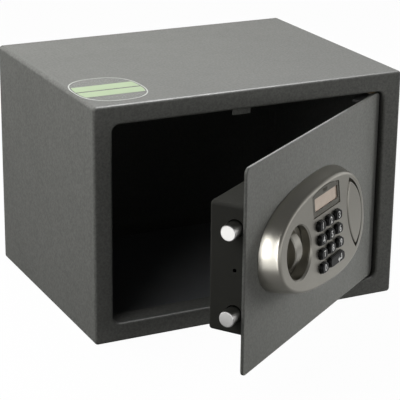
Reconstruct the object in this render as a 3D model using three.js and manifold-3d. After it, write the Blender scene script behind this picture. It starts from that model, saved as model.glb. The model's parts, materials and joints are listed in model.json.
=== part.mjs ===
// Electronic safe with a side-hinged door, two live bolts and an oval lock panel.
// Millimetres, +Z up, the door faces -Y. The origin is the centre of the cabinet's base.
// The door stands open, as a person leaves it, and the bolts are thrown.

import * as THREE from 'three';
import { mergeVertices } from 'three/addons/utils/BufferGeometryUtils.js';
import Module from 'manifold-3d';

const wasm = await Module();
wasm.setup();

// Cabinet: one folded sheet with a rim and a return flange round the doorway
const WIDTH = 350;
const HEIGHT = 250;
const DEPTH = 270;
const SHEET = 2;
const EDGE_RADIUS = 4;
const FRONT_BEND = 3;
const RIM = 20;
const RETURN_DEPTH = 26;
const DOORWAY_RADIUS = 8;
const DOORWAY_BEND = 2.5;
const ANCHOR_HOLE = 10;
const ANCHOR_SPACING = 160;
const ANCHOR_LIFT = 45;
const MAT_THICKNESS = 3;
const MAT_MARGIN = 2;

// Fits: pieces that rest on each other, and pieces that slide or turn
const TOUCH = 0.3;
const RUNNING = 0.4;
const SLIVER = 0.01;

// Door plate and its hinge
const DOOR_GAP = 2;
const PLATE = 3;
const PLATE_CORNER = 6;
const PLATE_EDGE = 1.2;
const OPEN_ANGLE = 35;
const HINGE_INSET = 9;
const PIN_STANDOFF = 5;
const SWING_CLEARANCE = 1.4;
const PIN_RADIUS = 3;
const PIN_LENGTH = 13;
const PIN_HEAD = 2;
const BUSH_WALL = 1.2;
const BUSH_HEAD_RADIUS = 5.6;
const BUSH_HEAD = 1.2;
const BRACKET = 2.4;
const BRACKET_TAB = 10;
const BRACKET_LEG = 32;
const BRACKET_WIDTH = 28;
const STOP_WIDTH = 20;
const STOP_HEIGHT = 6;
const STOP_FOOT = 13;
const STOP_OFFSET = -12;

// Lock case behind the door
const CASE_INSET = 4;
const CASE_LENGTH = 254;
const CASE_HEIGHT = 129;
const CASE_DEPTH = 36.5;
const CASE_SHEET = 1.5;
const CASE_RADIUS = 4;
const CASE_LIFT = 1;
const STUD_RADIUS = 3.5;
const STUD_MARGIN = 8;
const STUD_SHIFT = 3;
const STUD_WALL_GAP = 1;
const SCREW_RADIUS = 2;
const SCREW_LENGTH = 10;
const SCREW_HEAD_RADIUS = 4;
const SCREW_HEAD = 2.2;

// Bolt work
const BOLT_RADIUS = 8;
const BOLT_MARGIN = 22;
const BOLT_DROP = 1;
const BOLT_BACK = 13;
const BOLT_THROW = 15;
const BOLT_TRAVEL = 14;
const BOLT_LENGTH = 64;
const BOLT_CHAMFER = 1.2;
const BOLT_TAIL_RADIUS = 3.5;
const BOLT_PEEN = 2;
const BOLT_PORT = 1.8;
const PORT_CORNER = 1.5;
const CARRIAGE = 2.5;
const CARRIAGE_REACH = 42;
const CARRIAGE_ARM = 22;
const CARRIAGE_LIP = 7;
const LUG_WIDTH = 13;
const GUIDE = 2;
const GUIDE_SETBACK = 36;
const GUIDE_FOOT = 12;
const GUIDE_FOOT_HALF = 26;
const GUIDE_COVER = 3;
const KEEPER_HOLE = 2;

// Knob, spindle and crank
const KNOB_INSET = 67;
const KNOB_LIFT = 2;
const KNOB_TURN = 90;
const WELL_RADIUS = 26;
const WELL_WALL = 2;
const WELL_FLOOR_FRONT = 8;
const WELL_CHAMFER = 2.6;
const KNOB_DISC = 2.6;
const BLADE_WIDTH = 14;
const BLADE_RADIUS = 23;
const BLADE_EDGE = 1.5;
const HUB_RADIUS = 6.5;
const SPINDLE_RADIUS = 3;
const SPINDLE_STEP = 0.5;
const CRANK = 1.9;
const CRANK_DISC_RADIUS = 14.5;
const CRANK_PIN_RADIUS = 3;
const YOKE_PLAY = 0.5;

// Lock solenoid
const PLUNGER_RADIUS = 3.5;
const PLUNGER_STANDOFF = 1.5;
const STEP_PLAY = 1.2;
const STEP_LIP = 4;
const PLUNGER_OFFSET = 16;
const PLUNGER_DROP = 23;
const COIL_RADIUS = 9;
const FRAME = 2;
const FRAME_SIZE = 22;

// Oval panel, a moulded shell with a face that leans back
const PANEL_OFFSET = 55.8;
const PANEL_DROP = -0.8;
const PANEL_HALF_WIDTH = 101.5;
const PANEL_HALF_HEIGHT = 54.5;
const PANEL_POWER = 2.5;
const PANEL_EGG = 0.12;
const PANEL_DEPTH = 21.4;
const PANEL_LEAN = 0.11;
const PANEL_DRAFT = 4;
const PANEL_FILLET = 4;
const PANEL_WALL = 2.5;
const PANEL_FACE = 3;
const PANEL_POINTS = 48;
const BOSS_RADIUS = 3.5;
const SCREW_OFFSETS = [[-35.8, 39.2], [50.2, -40.8]];

// Display
const DISPLAY_OFFSET = 9.7;
const DISPLAY_LIFT = 33.2;
const DISPLAY_WIDTH = 62;
const DISPLAY_BOTTOM = -12;
const DISPLAY_SHOULDER = 10;
const DISPLAY_ARCH = 4.6;
const DISPLAY_RECESS = 1.8;
const DISPLAY_SUNK = 0.6;
const GLASS_WIDTH = 52;
const GLASS_HEIGHT = 13;
const GLASS_MARGIN = 1.5;
const GLASS_OFFSET = 1;
const GLASS_CORNER = 1;
const GLASS = 3;
const DISPLAY_RIBS = 5;
const RIB_PITCH = 2;

// Keypad
const KEY_OFFSET = 10;
const KEY_LIFT = 11.6;
const KEY_PITCH_X = 19;
const KEY_PITCH_Z = 14.2;
const KEY_WIDTH = 14.4;
const KEY_HEIGHT = 10.4;
const KEY_CORNER = 4.4;
const KEY_RISE = 4;
const KEY_DOME = 1.6;
const KEY_FLANGE = 1.4;
const KEY_FLANGE_THICK = 0.8;
const KEY_TRAVEL = 1.5;
const MEMBRANE = 1.5;
const BOARD = 1.6;
const BOARD_MARGIN = 6;
const BOSS_MARGIN = 4;
const BOSS_DROP = 19;
const CABLE_SLOT = [18, 8];
const CABLE_DROP = 14;

// Override lock and its lens-shaped cover
const LENS_TOP = [64.9, 39.3];
const LENS_BOTTOM = [70.5, -35.3];
const LENS_LEFT = 12.4;
const LENS_RIGHT = 22.5;
const LENS_RECESS = 7;
const LENS_GAP = 0.5;
const COVER = 2;
const COVER_PROUD = 0.8;
const COVER_LEG = 8;
const COVER_LEG_SPREAD = 20;
const LOCK_OFFSET = 74.2;
const LOCK_LIFT = 1.2;
const LOCK_RECESS = 2;
const LOCK_BODY_RADIUS = 9;
const PLUG_RADIUS = 6;
const LOCK_LENGTH = 30;
const NUT_THICK = 3;
const NUT_ACROSS = 24;
const CAM_LENGTH = 26;
const CAM_WIDTH = 10;
const CAM = 1.6;
const KEYWAY = [1.6, 8, 9];

// Battery box, lid, cells, circuit board and reset button
const CELL_RADIUS = 7.1;
const CELL_LENGTH = 49.5;
const CELL_NUB = 1;
const CELL_COUNT = 4;
const CELL_PITCH = 15;
const BATTERY_MARGIN = 11.6;
const BATTERY_FLANGE = 3;
const BATTERY_SETBACK = 1.5;
const BATTERY_CORNER = 2;
const BATTERY_WALL = 1.4;
const BATTERY_ENDS = 3;
const LID = 2;
const LID_GRIP = [18, 6];
const LID_GRIP_INSET = 8;
const RESET_OFFSET = -50;
const RESET_DROP = 22.5;
const RESET_RADIUS = 3.2;
const RESET_PROUD = 1.6;
const RESET_FLANGE = 1.4;
const RESET_LENGTH = 6;
const CONTROL_OFFSET = 4.2;
const CONTROL_DROP = 34;
const CONTROL_POST_INSET = 5;
const CONTROL_WIDTH = 48;
const CONTROL_HEIGHT = 40;
const CONTROL_STANDOFF = 6;

// Places that follow from the sizes
const FRONT = -DEPTH / 2;
const BACK = DEPTH / 2;
const MID_Z = HEIGHT / 2;
const DOORWAY_X = WIDTH / 2 - RIM;
const DOORWAY_LOW = RIM;
const DOORWAY_HIGH = HEIGHT - RIM;
const HINGE_BACK = PLATE + PIN_STANDOFF;
const HINGE_X = DOORWAY_X - Math.hypot(HINGE_INSET, HINGE_BACK) - SWING_CLEARANCE;
const PLATE_LEFT = -DOORWAY_X + DOOR_GAP;
const PLATE_RIGHT = HINGE_X + HINGE_INSET;
const PLATE_LOW = DOORWAY_LOW + DOOR_GAP;
const PLATE_HIGH = DOORWAY_HIGH - DOOR_GAP;
const CASE_LEFT = PLATE_LEFT + CASE_INSET;
const CASE_RIGHT = CASE_LEFT + CASE_LENGTH;
const CASE_CENTRE_Z = MID_Z + CASE_LIFT;
const CASE_LOW = CASE_CENTRE_Z - CASE_HEIGHT / 2;
const CASE_HIGH = CASE_CENTRE_Z + CASE_HEIGHT / 2;
const CASE_FRONT = PLATE + TOUCH;
const CASE_REAR = CASE_FRONT + CASE_DEPTH;
const BOLT_TIP = CASE_LEFT - BOLT_THROW;
const BOLT_TAIL = BOLT_TIP + BOLT_LENGTH;
const BOLT_HEIGHTS = [CASE_LOW + BOLT_MARGIN - BOLT_DROP, CASE_HIGH - BOLT_MARGIN - BOLT_DROP];
const BOLT_MIDDLE = (BOLT_HEIGHTS[0] + BOLT_HEIGHTS[1]) / 2;
const KNOB_X = CASE_LEFT + KNOB_INSET;
const KNOB_Z = CASE_CENTRE_Z + KNOB_LIFT;
const PANEL_X = KNOB_X + PANEL_OFFSET;
const PANEL_Z = KNOB_Z - PANEL_DROP;
const DISPLAY_X = PANEL_X + DISPLAY_OFFSET;
const DISPLAY_Z = PANEL_Z + DISPLAY_LIFT;
const KEY_X = PANEL_X + KEY_OFFSET;
const KEY_TOP_Z = PANEL_Z + KEY_LIFT;
const LOCK_X = PANEL_X + LOCK_OFFSET;
const LOCK_Z = PANEL_Z + LOCK_LIFT;
const CRANK_FRONT = PLATE + TOUCH;
const CRANK_REAR = CRANK_FRONT + CRANK;
const CARRIAGE_FRONT = CRANK_REAR + TOUCH;
const CARRIAGE_REAR = CARRIAGE_FRONT + CARRIAGE;
const CRANK_ARM = BOLT_TRAVEL / 2 / Math.sin(THREE.MathUtils.degToRad(KNOB_TURN / 2));
const LEAN_ANGLE = Math.atan(PANEL_LEAN);

// Finishes
const charcoalPaint = new THREE.MeshStandardMaterial({ color: '#5f5f5b', roughness: 0.5, metalness: 0.2 });
const doorPaint = new THREE.MeshStandardMaterial({ color: '#6b6c68', roughness: 0.45, metalness: 0.2 });
const darkPaint = new THREE.MeshStandardMaterial({ color: '#2f2f2b', roughness: 0.6, metalness: 0.2 });
const felt = new THREE.MeshStandardMaterial({ color: '#262a32', roughness: 0.95, metalness: 0 });
const brightSteel = new THREE.MeshStandardMaterial({ color: '#d8d8d6', roughness: 0.2, metalness: 1 });
const zincSteel = new THREE.MeshStandardMaterial({ color: '#b4b6b8', roughness: 0.4, metalness: 0.9 });
const titanium = new THREE.MeshStandardMaterial({ color: '#8c877b', roughness: 0.35, metalness: 0.6 });
const displayGrey = new THREE.MeshStandardMaterial({ color: '#4a4844', roughness: 0.4, metalness: 0.1 });
const displayGlass = new THREE.MeshStandardMaterial({ color: '#b9aa9b', roughness: 0.15, metalness: 0 });
const keyBlack = new THREE.MeshStandardMaterial({ color: '#101010', roughness: 0.2, metalness: 0 });
const siliconeGrey = new THREE.MeshStandardMaterial({ color: '#3a3a3c', roughness: 0.8, metalness: 0 });
const boardGreen = new THREE.MeshStandardMaterial({ color: '#1f5a34', roughness: 0.5, metalness: 0 });
const brass = new THREE.MeshStandardMaterial({ color: '#b89650', roughness: 0.3, metalness: 0.9 });
const copper = new THREE.MeshStandardMaterial({ color: '#a2562e', roughness: 0.4, metalness: 0.8 });
const blackPlastic = new THREE.MeshStandardMaterial({ color: '#1b1b1c', roughness: 0.5, metalness: 0 });
const cellJacket = new THREE.MeshStandardMaterial({ color: '#3c4a3e', roughness: 0.4, metalness: 0.3 });
const resetRed = new THREE.MeshStandardMaterial({ color: '#a8281f', roughness: 0.4, metalness: 0 });

// Turns a geometry into one closed mesh that shares its corners and faces outwards
function closed(source) {
  const bare = source.clone();
  bare.deleteAttribute('normal');
  bare.deleteAttribute('uv');
  const merged = mergeVertices(bare, 1e-4);
  const place = merged.getAttribute('position');
  const index = merged.getIndex().array;
  const corner = [new THREE.Vector3(), new THREE.Vector3(), new THREE.Vector3()];
  const kept = [];
  let volume = 0;
  for (let i = 0; i < index.length; i += 3) {
    const [a, b, c] = [index[i], index[i + 1], index[i + 2]];
    if (a === b || b === c || c === a) continue;
    kept.push(a, b, c);
    [a, b, c].forEach((id, n) => corner[n].fromBufferAttribute(place, id));
    volume += corner[0].dot(corner[1].clone().cross(corner[2]));
  }
  if (volume < 0) kept.reverse();
  const out = new THREE.BufferGeometry();
  out.setAttribute('position', place);
  out.setIndex(kept);
  return out;
}

function solidOf(geometry) {
  const mesh = closed(geometry);
  const vertProperties = new Float32Array(mesh.getAttribute('position').array);
  const triVerts = new Uint32Array(mesh.getIndex().array);
  return new wasm.Manifold(new wasm.Mesh({ numProp: 3, vertProperties, triVerts }));
}

// The slivers that cuts leave on flat faces are merged
function geometryOf(solid) {
  const mesh = solid.asOriginal().simplify(SLIVER).getMesh();
  const out = new THREE.BufferGeometry();
  out.setAttribute('position', new THREE.BufferAttribute(new Float32Array(mesh.vertProperties), 3));
  out.setIndex([...mesh.triVerts]);
  return out;
}

function joinSolids(first, ...others) {
  return others.reduce((all, next) => all.add(next), first);
}

function cutSolids(first, ...others) {
  return others.reduce((all, next) => all.subtract(next), first);
}

function joined(...geometries) {
  return joinSolids(...geometries.map(solidOf));
}

function roundedRect(width, height, radius, x = 0, y = 0) {
  const [left, right] = [x - width / 2, x + width / 2];
  const [low, high] = [y - height / 2, y + height / 2];
  const shape = new THREE.Shape();
  shape.moveTo(left + radius, low);
  shape.lineTo(right - radius, low);
  shape.absarc(right - radius, low + radius, radius, -Math.PI / 2, 0);
  shape.lineTo(right, high - radius);
  shape.absarc(right - radius, high - radius, radius, 0, Math.PI / 2);
  shape.lineTo(left + radius, high);
  shape.absarc(left + radius, high - radius, radius, Math.PI / 2, Math.PI);
  shape.lineTo(left, low + radius);
  shape.absarc(left + radius, low + radius, radius, Math.PI, 1.5 * Math.PI);
  return shape;
}

function circleHole(x, y, radius, steps = 20) {
  const points = [];
  for (let i = 0; i < steps; i += 1) {
    const angle = (-2 * Math.PI * i) / steps;
    points.push(new THREE.Vector2(x + radius * Math.cos(angle), y + radius * Math.sin(angle)));
  }
  return new THREE.Path(points);
}

function polygon(points) {
  return new THREE.Shape(points.map(([x, y]) => new THREE.Vector2(x, y)));
}

// Slabs: a flat shape pushed from one plane to another, with an optional rounded edge
function extruded(shape, thickness, edge, curveSegments) {
  return new THREE.ExtrudeGeometry(shape, {
    depth: thickness - 2 * edge,
    bevelEnabled: edge > 0,
    bevelThickness: edge,
    bevelSize: edge,
    bevelOffset: -edge,
    bevelSegments: edge < 1 ? 1 : 3,
    curveSegments,
  });
}

function slabY(shape, from, to, edge = 0, curveSegments = 2) {
  const slab = extruded(shape, to - from, edge, curveSegments);
  slab.rotateX(Math.PI / 2);
  slab.translate(0, to - edge, 0);
  return slab;
}

function slabZ(shape, from, to, edge = 0, curveSegments = 2) {
  const slab = extruded(shape, to - from, edge, curveSegments);
  slab.translate(0, 0, from + edge);
  return slab;
}

// The shape's x runs along Y and its y along Z
function slabX(shape, from, to, edge = 0, curveSegments = 2) {
  const slab = extruded(shape, to - from, edge, curveSegments);
  const turn = new THREE.Matrix4().makeBasis(
    new THREE.Vector3(0, 1, 0),
    new THREE.Vector3(0, 0, 1),
    new THREE.Vector3(1, 0, 0),
  );
  slab.applyMatrix4(turn);
  slab.translate(from + edge, 0, 0);
  return slab;
}

function box(x0, x1, y0, y1, z0, z1) {
  const block = new THREE.BoxGeometry(x1 - x0, y1 - y0, z1 - z0);
  block.translate((x0 + x1) / 2, (y0 + y1) / 2, (z0 + z1) / 2);
  return block;
}

// Turned pieces: the profile is [radius, distance along the axis]
function turned(axis, profile, at, segments = 20) {
  const piece = new THREE.LatheGeometry(profile.map(([r, s]) => new THREE.Vector2(r, s)), segments);
  if (axis === 'x') {
    piece.rotateZ(-Math.PI / 2);
    piece.translate(0, at[0], at[1]);
  } else if (axis === 'y') {
    piece.translate(at[0], 0, at[1]);
  } else {
    piece.rotateX(Math.PI / 2);
    piece.translate(at[0], at[1], 0);
  }
  return piece;
}

function rod(axis, radius, from, to, at, segments = 20, chamfer = 0) {
  const ends = [[0, from], [radius - chamfer, from]];
  if (chamfer > 0) ends.push([radius, from + chamfer], [radius, to - chamfer]);
  ends.push([radius - chamfer, to], [0, to]);
  return turned(axis, ends, at, segments);
}

function ring(axis, outer, inner, from, to, at, segments = 20) {
  return turned(axis, [[inner, from], [outer, from], [outer, to], [inner, to], [inner, from]], at, segments);
}

function roundedLoop(halfWidth, halfHeight, radius, steps) {
  const loop = [];
  const corners = [[1, -1, -90], [1, 1, 0], [-1, 1, 90], [-1, -1, 180]];
  for (const [sx, sy, start] of corners) {
    for (let i = 0; i <= steps; i += 1) {
      const angle = THREE.MathUtils.degToRad(start + (90 * i) / steps);
      loop.push([
        sx * (halfWidth - radius) + radius * Math.cos(angle),
        sy * (halfHeight - radius) + radius * Math.sin(angle),
      ]);
    }
  }
  return loop;
}

// Skins a row of loops, each a list of points of one count. Open rows are capped at both ends
function skinned(loops, wrapped) {
  const count = loops[0].length;
  const place = loops.flat().flatMap((p) => [p.x, p.y, p.z]);
  const index = [];
  const last = wrapped ? loops.length : loops.length - 1;
  for (let i = 0; i < last; i += 1) {
    for (let j = 0; j < count; j += 1) {
      const a = i * count + j;
      const b = i * count + ((j + 1) % count);
      const c = ((i + 1) % loops.length) * count + j;
      const d = ((i + 1) % loops.length) * count + ((j + 1) % count);
      index.push(a, b, d, a, d, c);
    }
  }
  if (!wrapped) {
    for (const [loop, flip] of [[0, true], [loops.length - 1, false]]) {
      const middle = new THREE.Vector3();
      loops[loop].forEach((p) => middle.add(p));
      middle.divideScalar(count);
      const centre = place.length / 3;
      place.push(middle.x, middle.y, middle.z);
      for (let j = 0; j < count; j += 1) {
        const a = loop * count + j;
        const b = loop * count + ((j + 1) % count);
        index.push(...(flip ? [centre, b, a] : [centre, a, b]));
      }
    }
  }
  const out = new THREE.BufferGeometry();
  out.setAttribute('position', new THREE.Float32BufferAttribute(place, 3));
  out.setIndex(index);
  return out;
}

const safe = new THREE.Group();
const swing = new THREE.Group();
const leaf = new THREE.Group();
swing.position.set(HINGE_X, FRONT + HINGE_BACK, 0);
swing.rotation.z = THREE.MathUtils.degToRad(OPEN_ANGLE);
leaf.position.set(-HINGE_X, -HINGE_BACK, 0);
safe.add(swing);
swing.add(leaf);

function add(parent, name, shape, material) {
  const geometry = shape.isBufferGeometry ? closed(shape) : geometryOf(shape);
  const mesh = new THREE.Mesh(geometry, material);
  mesh.name = name;
  parent.add(mesh);
  return mesh;
}

// The cabinet's sheet section, from the back edge over the rim to the return flange and back
function wrapSection() {
  const outerCorner = (inset) => Math.max(EDGE_RADIUS - inset, 0.8);
  const doorwayCorner = (inset) => DOORWAY_RADIUS + RIM - inset;
  const section = [[0, BACK, outerCorner(0)]];
  for (let i = 0; i <= 3; i += 1) {
    const angle = (Math.PI / 2) * (i / 3);
    const inset = FRONT_BEND * (1 - Math.cos(angle));
    section.push([inset, FRONT + FRONT_BEND * (1 - Math.sin(angle)), outerCorner(inset)]);
  }
  for (let i = 0; i <= 3; i += 1) {
    const angle = (Math.PI / 2) * (i / 3);
    const inset = RIM - DOORWAY_BEND * (1 - Math.sin(angle));
    section.push([inset, FRONT + DOORWAY_BEND * (1 - Math.cos(angle)), doorwayCorner(inset)]);
  }
  section.push([RIM, FRONT + RETURN_DEPTH, doorwayCorner(RIM)]);
  section.push([RIM - SHEET, FRONT + RETURN_DEPTH, doorwayCorner(RIM - SHEET)]);
  section.push([RIM - SHEET, FRONT + SHEET, doorwayCorner(RIM - SHEET)]);
  section.push([FRONT_BEND, FRONT + SHEET, outerCorner(SHEET)]);
  section.push([SHEET, FRONT + FRONT_BEND, outerCorner(SHEET)]);
  section.push([SHEET, BACK, outerCorner(SHEET)]);
  return section;
}

function cabinetWrap() {
  const loops = wrapSection().map(([inset, y, radius]) =>
    roundedLoop(WIDTH / 2 - inset, HEIGHT / 2 - inset, radius, 3)
      .map(([x, z]) => new THREE.Vector3(x, y, MID_Z + z)));
  const portSide = 2 * (BOLT_RADIUS + BOLT_PORT);
  const ports = BOLT_HEIGHTS.map((z) => slabX(
    roundedRect(portSide, portSide, PORT_CORNER, FRONT + BOLT_BACK, z),
    -DOORWAY_X - 2 * SHEET,
    -DOORWAY_X + SHEET));
  const bearings = [DOORWAY_LOW - SHEET / 2, DOORWAY_HIGH + SHEET / 2].map((z) =>
    rod('z', bushRadius() + TOUCH, z - SHEET, z + SHEET, [HINGE_X, FRONT + HINGE_BACK]));
  const anchors = [-1, 1].map((side) =>
    rod('z', ANCHOR_HOLE / 2, -SHEET, 2 * SHEET, [(side * ANCHOR_SPACING) / 2, 0]));
  return cutSolids(solidOf(skinned(loops, true)), ...[...ports, ...bearings, ...anchors].map(solidOf));
}

function backPanel() {
  const inset = SHEET + TOUCH;
  const corner = Math.max(EDGE_RADIUS - SHEET, 1);
  const shape = roundedRect(WIDTH - 2 * inset, HEIGHT - 2 * inset, corner, 0, MID_Z);
  for (const side of [-1, 1]) {
    shape.holes.push(circleHole((side * ANCHOR_SPACING) / 2, MID_Z + ANCHOR_LIFT, ANCHOR_HOLE / 2));
  }
  return slabY(shape, BACK - SHEET, BACK);
}

function floorMat() {
  const front = FRONT + SHEET + MAT_MARGIN;
  const back = BACK - SHEET - MAT_MARGIN;
  const width = WIDTH - 2 * (SHEET + MAT_MARGIN);
  const shape = roundedRect(width, back - front, 2, 0, (front + back) / 2);
  return slabZ(shape, SHEET + TOUCH, SHEET + TOUCH + MAT_THICKNESS);
}

function bushRadius() {
  return PIN_RADIUS + RUNNING + BUSH_WALL;
}

// A flanged bush: the barrel fills the hole in the flange and the head carries the door
function hingeBush(seat, side) {
  const bore = PIN_RADIUS + RUNNING;
  const inner = seat + side * TOUCH;
  const profile = [
    [bore, seat - side * (SHEET + 1)],
    [bushRadius(), seat - side * (SHEET + 1)],
    [bushRadius(), inner],
    [BUSH_HEAD_RADIUS, inner],
    [BUSH_HEAD_RADIUS, inner + side * BUSH_HEAD],
    [bore, inner + side * BUSH_HEAD],
    [bore, seat - side * (SHEET + 1)],
  ];
  return turned('z', profile, [HINGE_X, FRONT + HINGE_BACK], 16);
}

// An angle behind the door that takes the pin in its tab
function hingeBracket(edge, side) {
  const tabOuter = edge + side * TOUCH;
  const tabInner = tabOuter + side * BRACKET;
  const back = PLATE + TOUCH;
  const legEnd = HINGE_X - PIN_RADIUS - 4 * TOUCH;
  const legStart = legEnd - BRACKET_WIDTH;
  const tabEnd = HINGE_X + PIN_RADIUS + BRACKET;
  const low = Math.min(tabOuter, tabInner);
  const tab = box(legStart, tabEnd, back, back + BRACKET_TAB, low, low + BRACKET);
  const far = tabOuter + side * BRACKET_LEG;
  const [legLow, legHigh] = [Math.min(tabOuter, far), Math.max(tabOuter, far)];
  const leg = box(legStart, legEnd, back, back + BRACKET, legLow, legHigh);
  const hole = rod('z', PIN_RADIUS + TOUCH, low - 1, low + BRACKET + 1, [HINGE_X, HINGE_BACK], 20);
  return cutSolids(joined(tab, leg), solidOf(hole));
}

function hingePin(edge, side) {
  const seat = edge + side * (2 * TOUCH + BRACKET);
  const tip = seat + side * PIN_HEAD - side * PIN_LENGTH;
  const profile = [
    [0, tip],
    [PIN_RADIUS - 0.6, tip],
    [PIN_RADIUS, tip + side * 0.6],
    [PIN_RADIUS, seat],
    [PIN_RADIUS + 1.5, seat],
    [PIN_RADIUS + 1.5, seat + side * PIN_HEAD],
    [0, seat + side * PIN_HEAD],
  ];
  return turned('z', profile, [HINGE_X, HINGE_BACK], 16);
}

// A small angle on the return flange that the closed door comes to rest against
function doorStop(seat, side) {
  const foot = seat + side * TOUCH;
  const face = FRONT + PLATE + 2 * TOUCH;
  const [left, right] = [STOP_OFFSET - STOP_WIDTH / 2, STOP_OFFSET + STOP_WIDTH / 2];
  const footEnd = foot + side * SHEET;
  const top = foot + side * STOP_HEIGHT;
  return joined(
    box(left, right, face, face + SHEET, Math.min(foot, top), Math.max(foot, top)),
    box(left, right, face, face + STOP_FOOT, Math.min(foot, footEnd), Math.max(foot, footEnd)),
  );
}

function addCabinet() {
  add(safe, 'cabinet_wrap', cabinetWrap(), charcoalPaint);
  add(safe, 'back_panel', backPanel(), charcoalPaint);
  add(safe, 'floor_mat', floorMat(), felt);
  add(safe, 'hinge_bush_lower', hingeBush(DOORWAY_LOW, 1), brass);
  add(safe, 'hinge_bush_upper', hingeBush(DOORWAY_HIGH, -1), brass);
  add(safe, 'door_stop_lower', doorStop(DOORWAY_LOW, 1), charcoalPaint);
  add(safe, 'door_stop_upper', doorStop(DOORWAY_HIGH, -1), charcoalPaint);
}

const STUD_LEFT = CASE_LEFT + CASE_SHEET + STUD_MARGIN + STUD_SHIFT;
const STUD_RIGHT = CASE_RIGHT - CASE_SHEET - STUD_MARGIN;
const STUD_LOW = CASE_LOW + CASE_SHEET + STUD_RADIUS + STUD_WALL_GAP;
const STUD_HIGH = CASE_HIGH - CASE_SHEET - STUD_RADIUS - STUD_WALL_GAP;
const CONTROL_X = PANEL_X + CONTROL_OFFSET;
const CONTROL_Z = CASE_CENTRE_Z - CONTROL_DROP;
const STUD_PLACES = [
  [STUD_LEFT, STUD_LOW],
  [STUD_LEFT, STUD_HIGH],
  [STUD_RIGHT, STUD_LOW],
  [STUD_RIGHT, STUD_HIGH],
];
const PANEL_SCREWS = SCREW_OFFSETS.map(([x, z]) => [PANEL_X + x, PANEL_Z + z]);
const STUD_END = CASE_REAR - CASE_SHEET - TOUCH;

function doorPlate() {
  const width = PLATE_RIGHT - PLATE_LEFT;
  const height = PLATE_HIGH - PLATE_LOW;
  const outline = roundedRect(width, height, PLATE_CORNER, (PLATE_LEFT + PLATE_RIGHT) / 2, MID_Z);
  const blank = slabY(outline, 0, 2 * PLATE, PLATE_EDGE);
  const behind = box(PLATE_LEFT - 5, PLATE_RIGHT + 5, PLATE, 3 * PLATE, 0, HEIGHT);
  const studs = STUD_PLACES.map((at) => rod('y', STUD_RADIUS, PLATE / 2, STUD_END, at, 12));
  const posts = [-1, 1].map((side) =>
    rod('y', STUD_RADIUS, PLATE / 2, PLATE + CONTROL_STANDOFF - TOUCH,
      [CONTROL_X + side * (CONTROL_WIDTH / 2 - CONTROL_POST_INSET), CONTROL_Z], 12));
  const threads = STUD_PLACES.map((at) =>
    rod('y', SCREW_RADIUS + TOUCH, STUD_END - SCREW_LENGTH, STUD_END + 1, at, 12));
  const holes = [
    rod('y', SPINDLE_RADIUS + RUNNING, -1, PLATE + 1, [KNOB_X, KNOB_Z], 20),
    rod('y', LOCK_BODY_RADIUS + TOUCH, -1, PLATE + 1, [LOCK_X, LOCK_Z], 24),
    ...PANEL_SCREWS.map((at) => rod('y', SCREW_RADIUS + TOUCH, -1, PLATE + 1, at, 12)),
    slabY(roundedRect(...CABLE_SLOT, CABLE_SLOT[1] / 2.2, DISPLAY_X, DISPLAY_Z - CABLE_DROP), -1, PLATE + 1),
  ];
  const plate = cutSolids(solidOf(blank), solidOf(behind));
  const studded = joinSolids(plate, ...[...studs, ...posts].map(solidOf));
  return cutSolids(studded, ...[...threads, ...holes].map(solidOf));
}

function addHinge() {
  add(leaf, 'hinge_bracket_lower', hingeBracket(PLATE_LOW, 1), zincSteel);
  add(leaf, 'hinge_bracket_upper', hingeBracket(PLATE_HIGH, -1), zincSteel);
  add(leaf, 'hinge_pin_lower', hingePin(PLATE_LOW, 1), brightSteel);
  add(leaf, 'hinge_pin_upper', hingePin(PLATE_HIGH, -1), brightSteel);
}

const BATTERY_WIDTH = CELL_COUNT * CELL_PITCH + 2 * BATTERY_WALL;
const BATTERY_HEIGHT = CELL_LENGTH + CELL_NUB + 2 * (BATTERY_ENDS + BATTERY_WALL);
const BATTERY_REAR = CASE_REAR - CASE_SHEET - TOUCH;
const BATTERY_FRONT = BATTERY_REAR - 2 * CELL_RADIUS - BATTERY_WALL - BATTERY_SETBACK;
const BATTERY_X = CASE_RIGHT - BATTERY_MARGIN - BATTERY_WIDTH / 2;
const BATTERY_Z = CASE_CENTRE_Z;
const RESET_X = BATTERY_X + RESET_OFFSET;
const RESET_Z = CASE_HIGH - RESET_DROP;

// A folded sheet box, open towards the door plate
function lockCase() {
  const [midX, midZ] = [(CASE_LEFT + CASE_RIGHT) / 2, CASE_CENTRE_Z];
  const fold = CASE_RADIUS - CASE_SHEET;
  const outer = slabY(
    roundedRect(CASE_LENGTH, CASE_HEIGHT, CASE_RADIUS, midX, midZ),
    CASE_FRONT - CASE_DEPTH, CASE_REAR, CASE_RADIUS * 0.75, 3);
  const inner = slabY(
    roundedRect(CASE_LENGTH - 2 * CASE_SHEET, CASE_HEIGHT - 2 * CASE_SHEET, fold, midX, midZ),
    CASE_FRONT - 2 * CASE_DEPTH, CASE_REAR - CASE_SHEET, fold * 0.6, 3);
  const front = box(CASE_LEFT - 5, CASE_RIGHT + 5, CASE_FRONT - 2 * CASE_DEPTH, CASE_FRONT, 0, HEIGHT);
  const ports = BOLT_HEIGHTS.map((z) =>
    rod('x', BOLT_RADIUS + BOLT_PORT / 2, CASE_LEFT - 1, CASE_LEFT + CASE_SHEET + 1, [BOLT_BACK, z]));
  const rear = [CASE_REAR - 2 * CASE_SHEET, CASE_REAR + 1];
  const holes = [
    rod('x', KEEPER_HOLE, CASE_LEFT - 1, CASE_LEFT + CASE_SHEET + 1, [BOLT_BACK, CASE_CENTRE_Z], 16),
    slabY(roundedRect(BATTERY_WIDTH, BATTERY_HEIGHT, BATTERY_CORNER, BATTERY_X, BATTERY_Z), ...rear),
    rod('y', RESET_RADIUS + RUNNING, ...rear, [RESET_X, RESET_Z], 20),
    ...STUD_PLACES.map((at) => rod('y', SCREW_RADIUS + TOUCH, ...rear, at, 12)),
  ];
  return cutSolids(solidOf(outer), ...[inner, front, ...ports, ...holes].map(solidOf));
}

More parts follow.
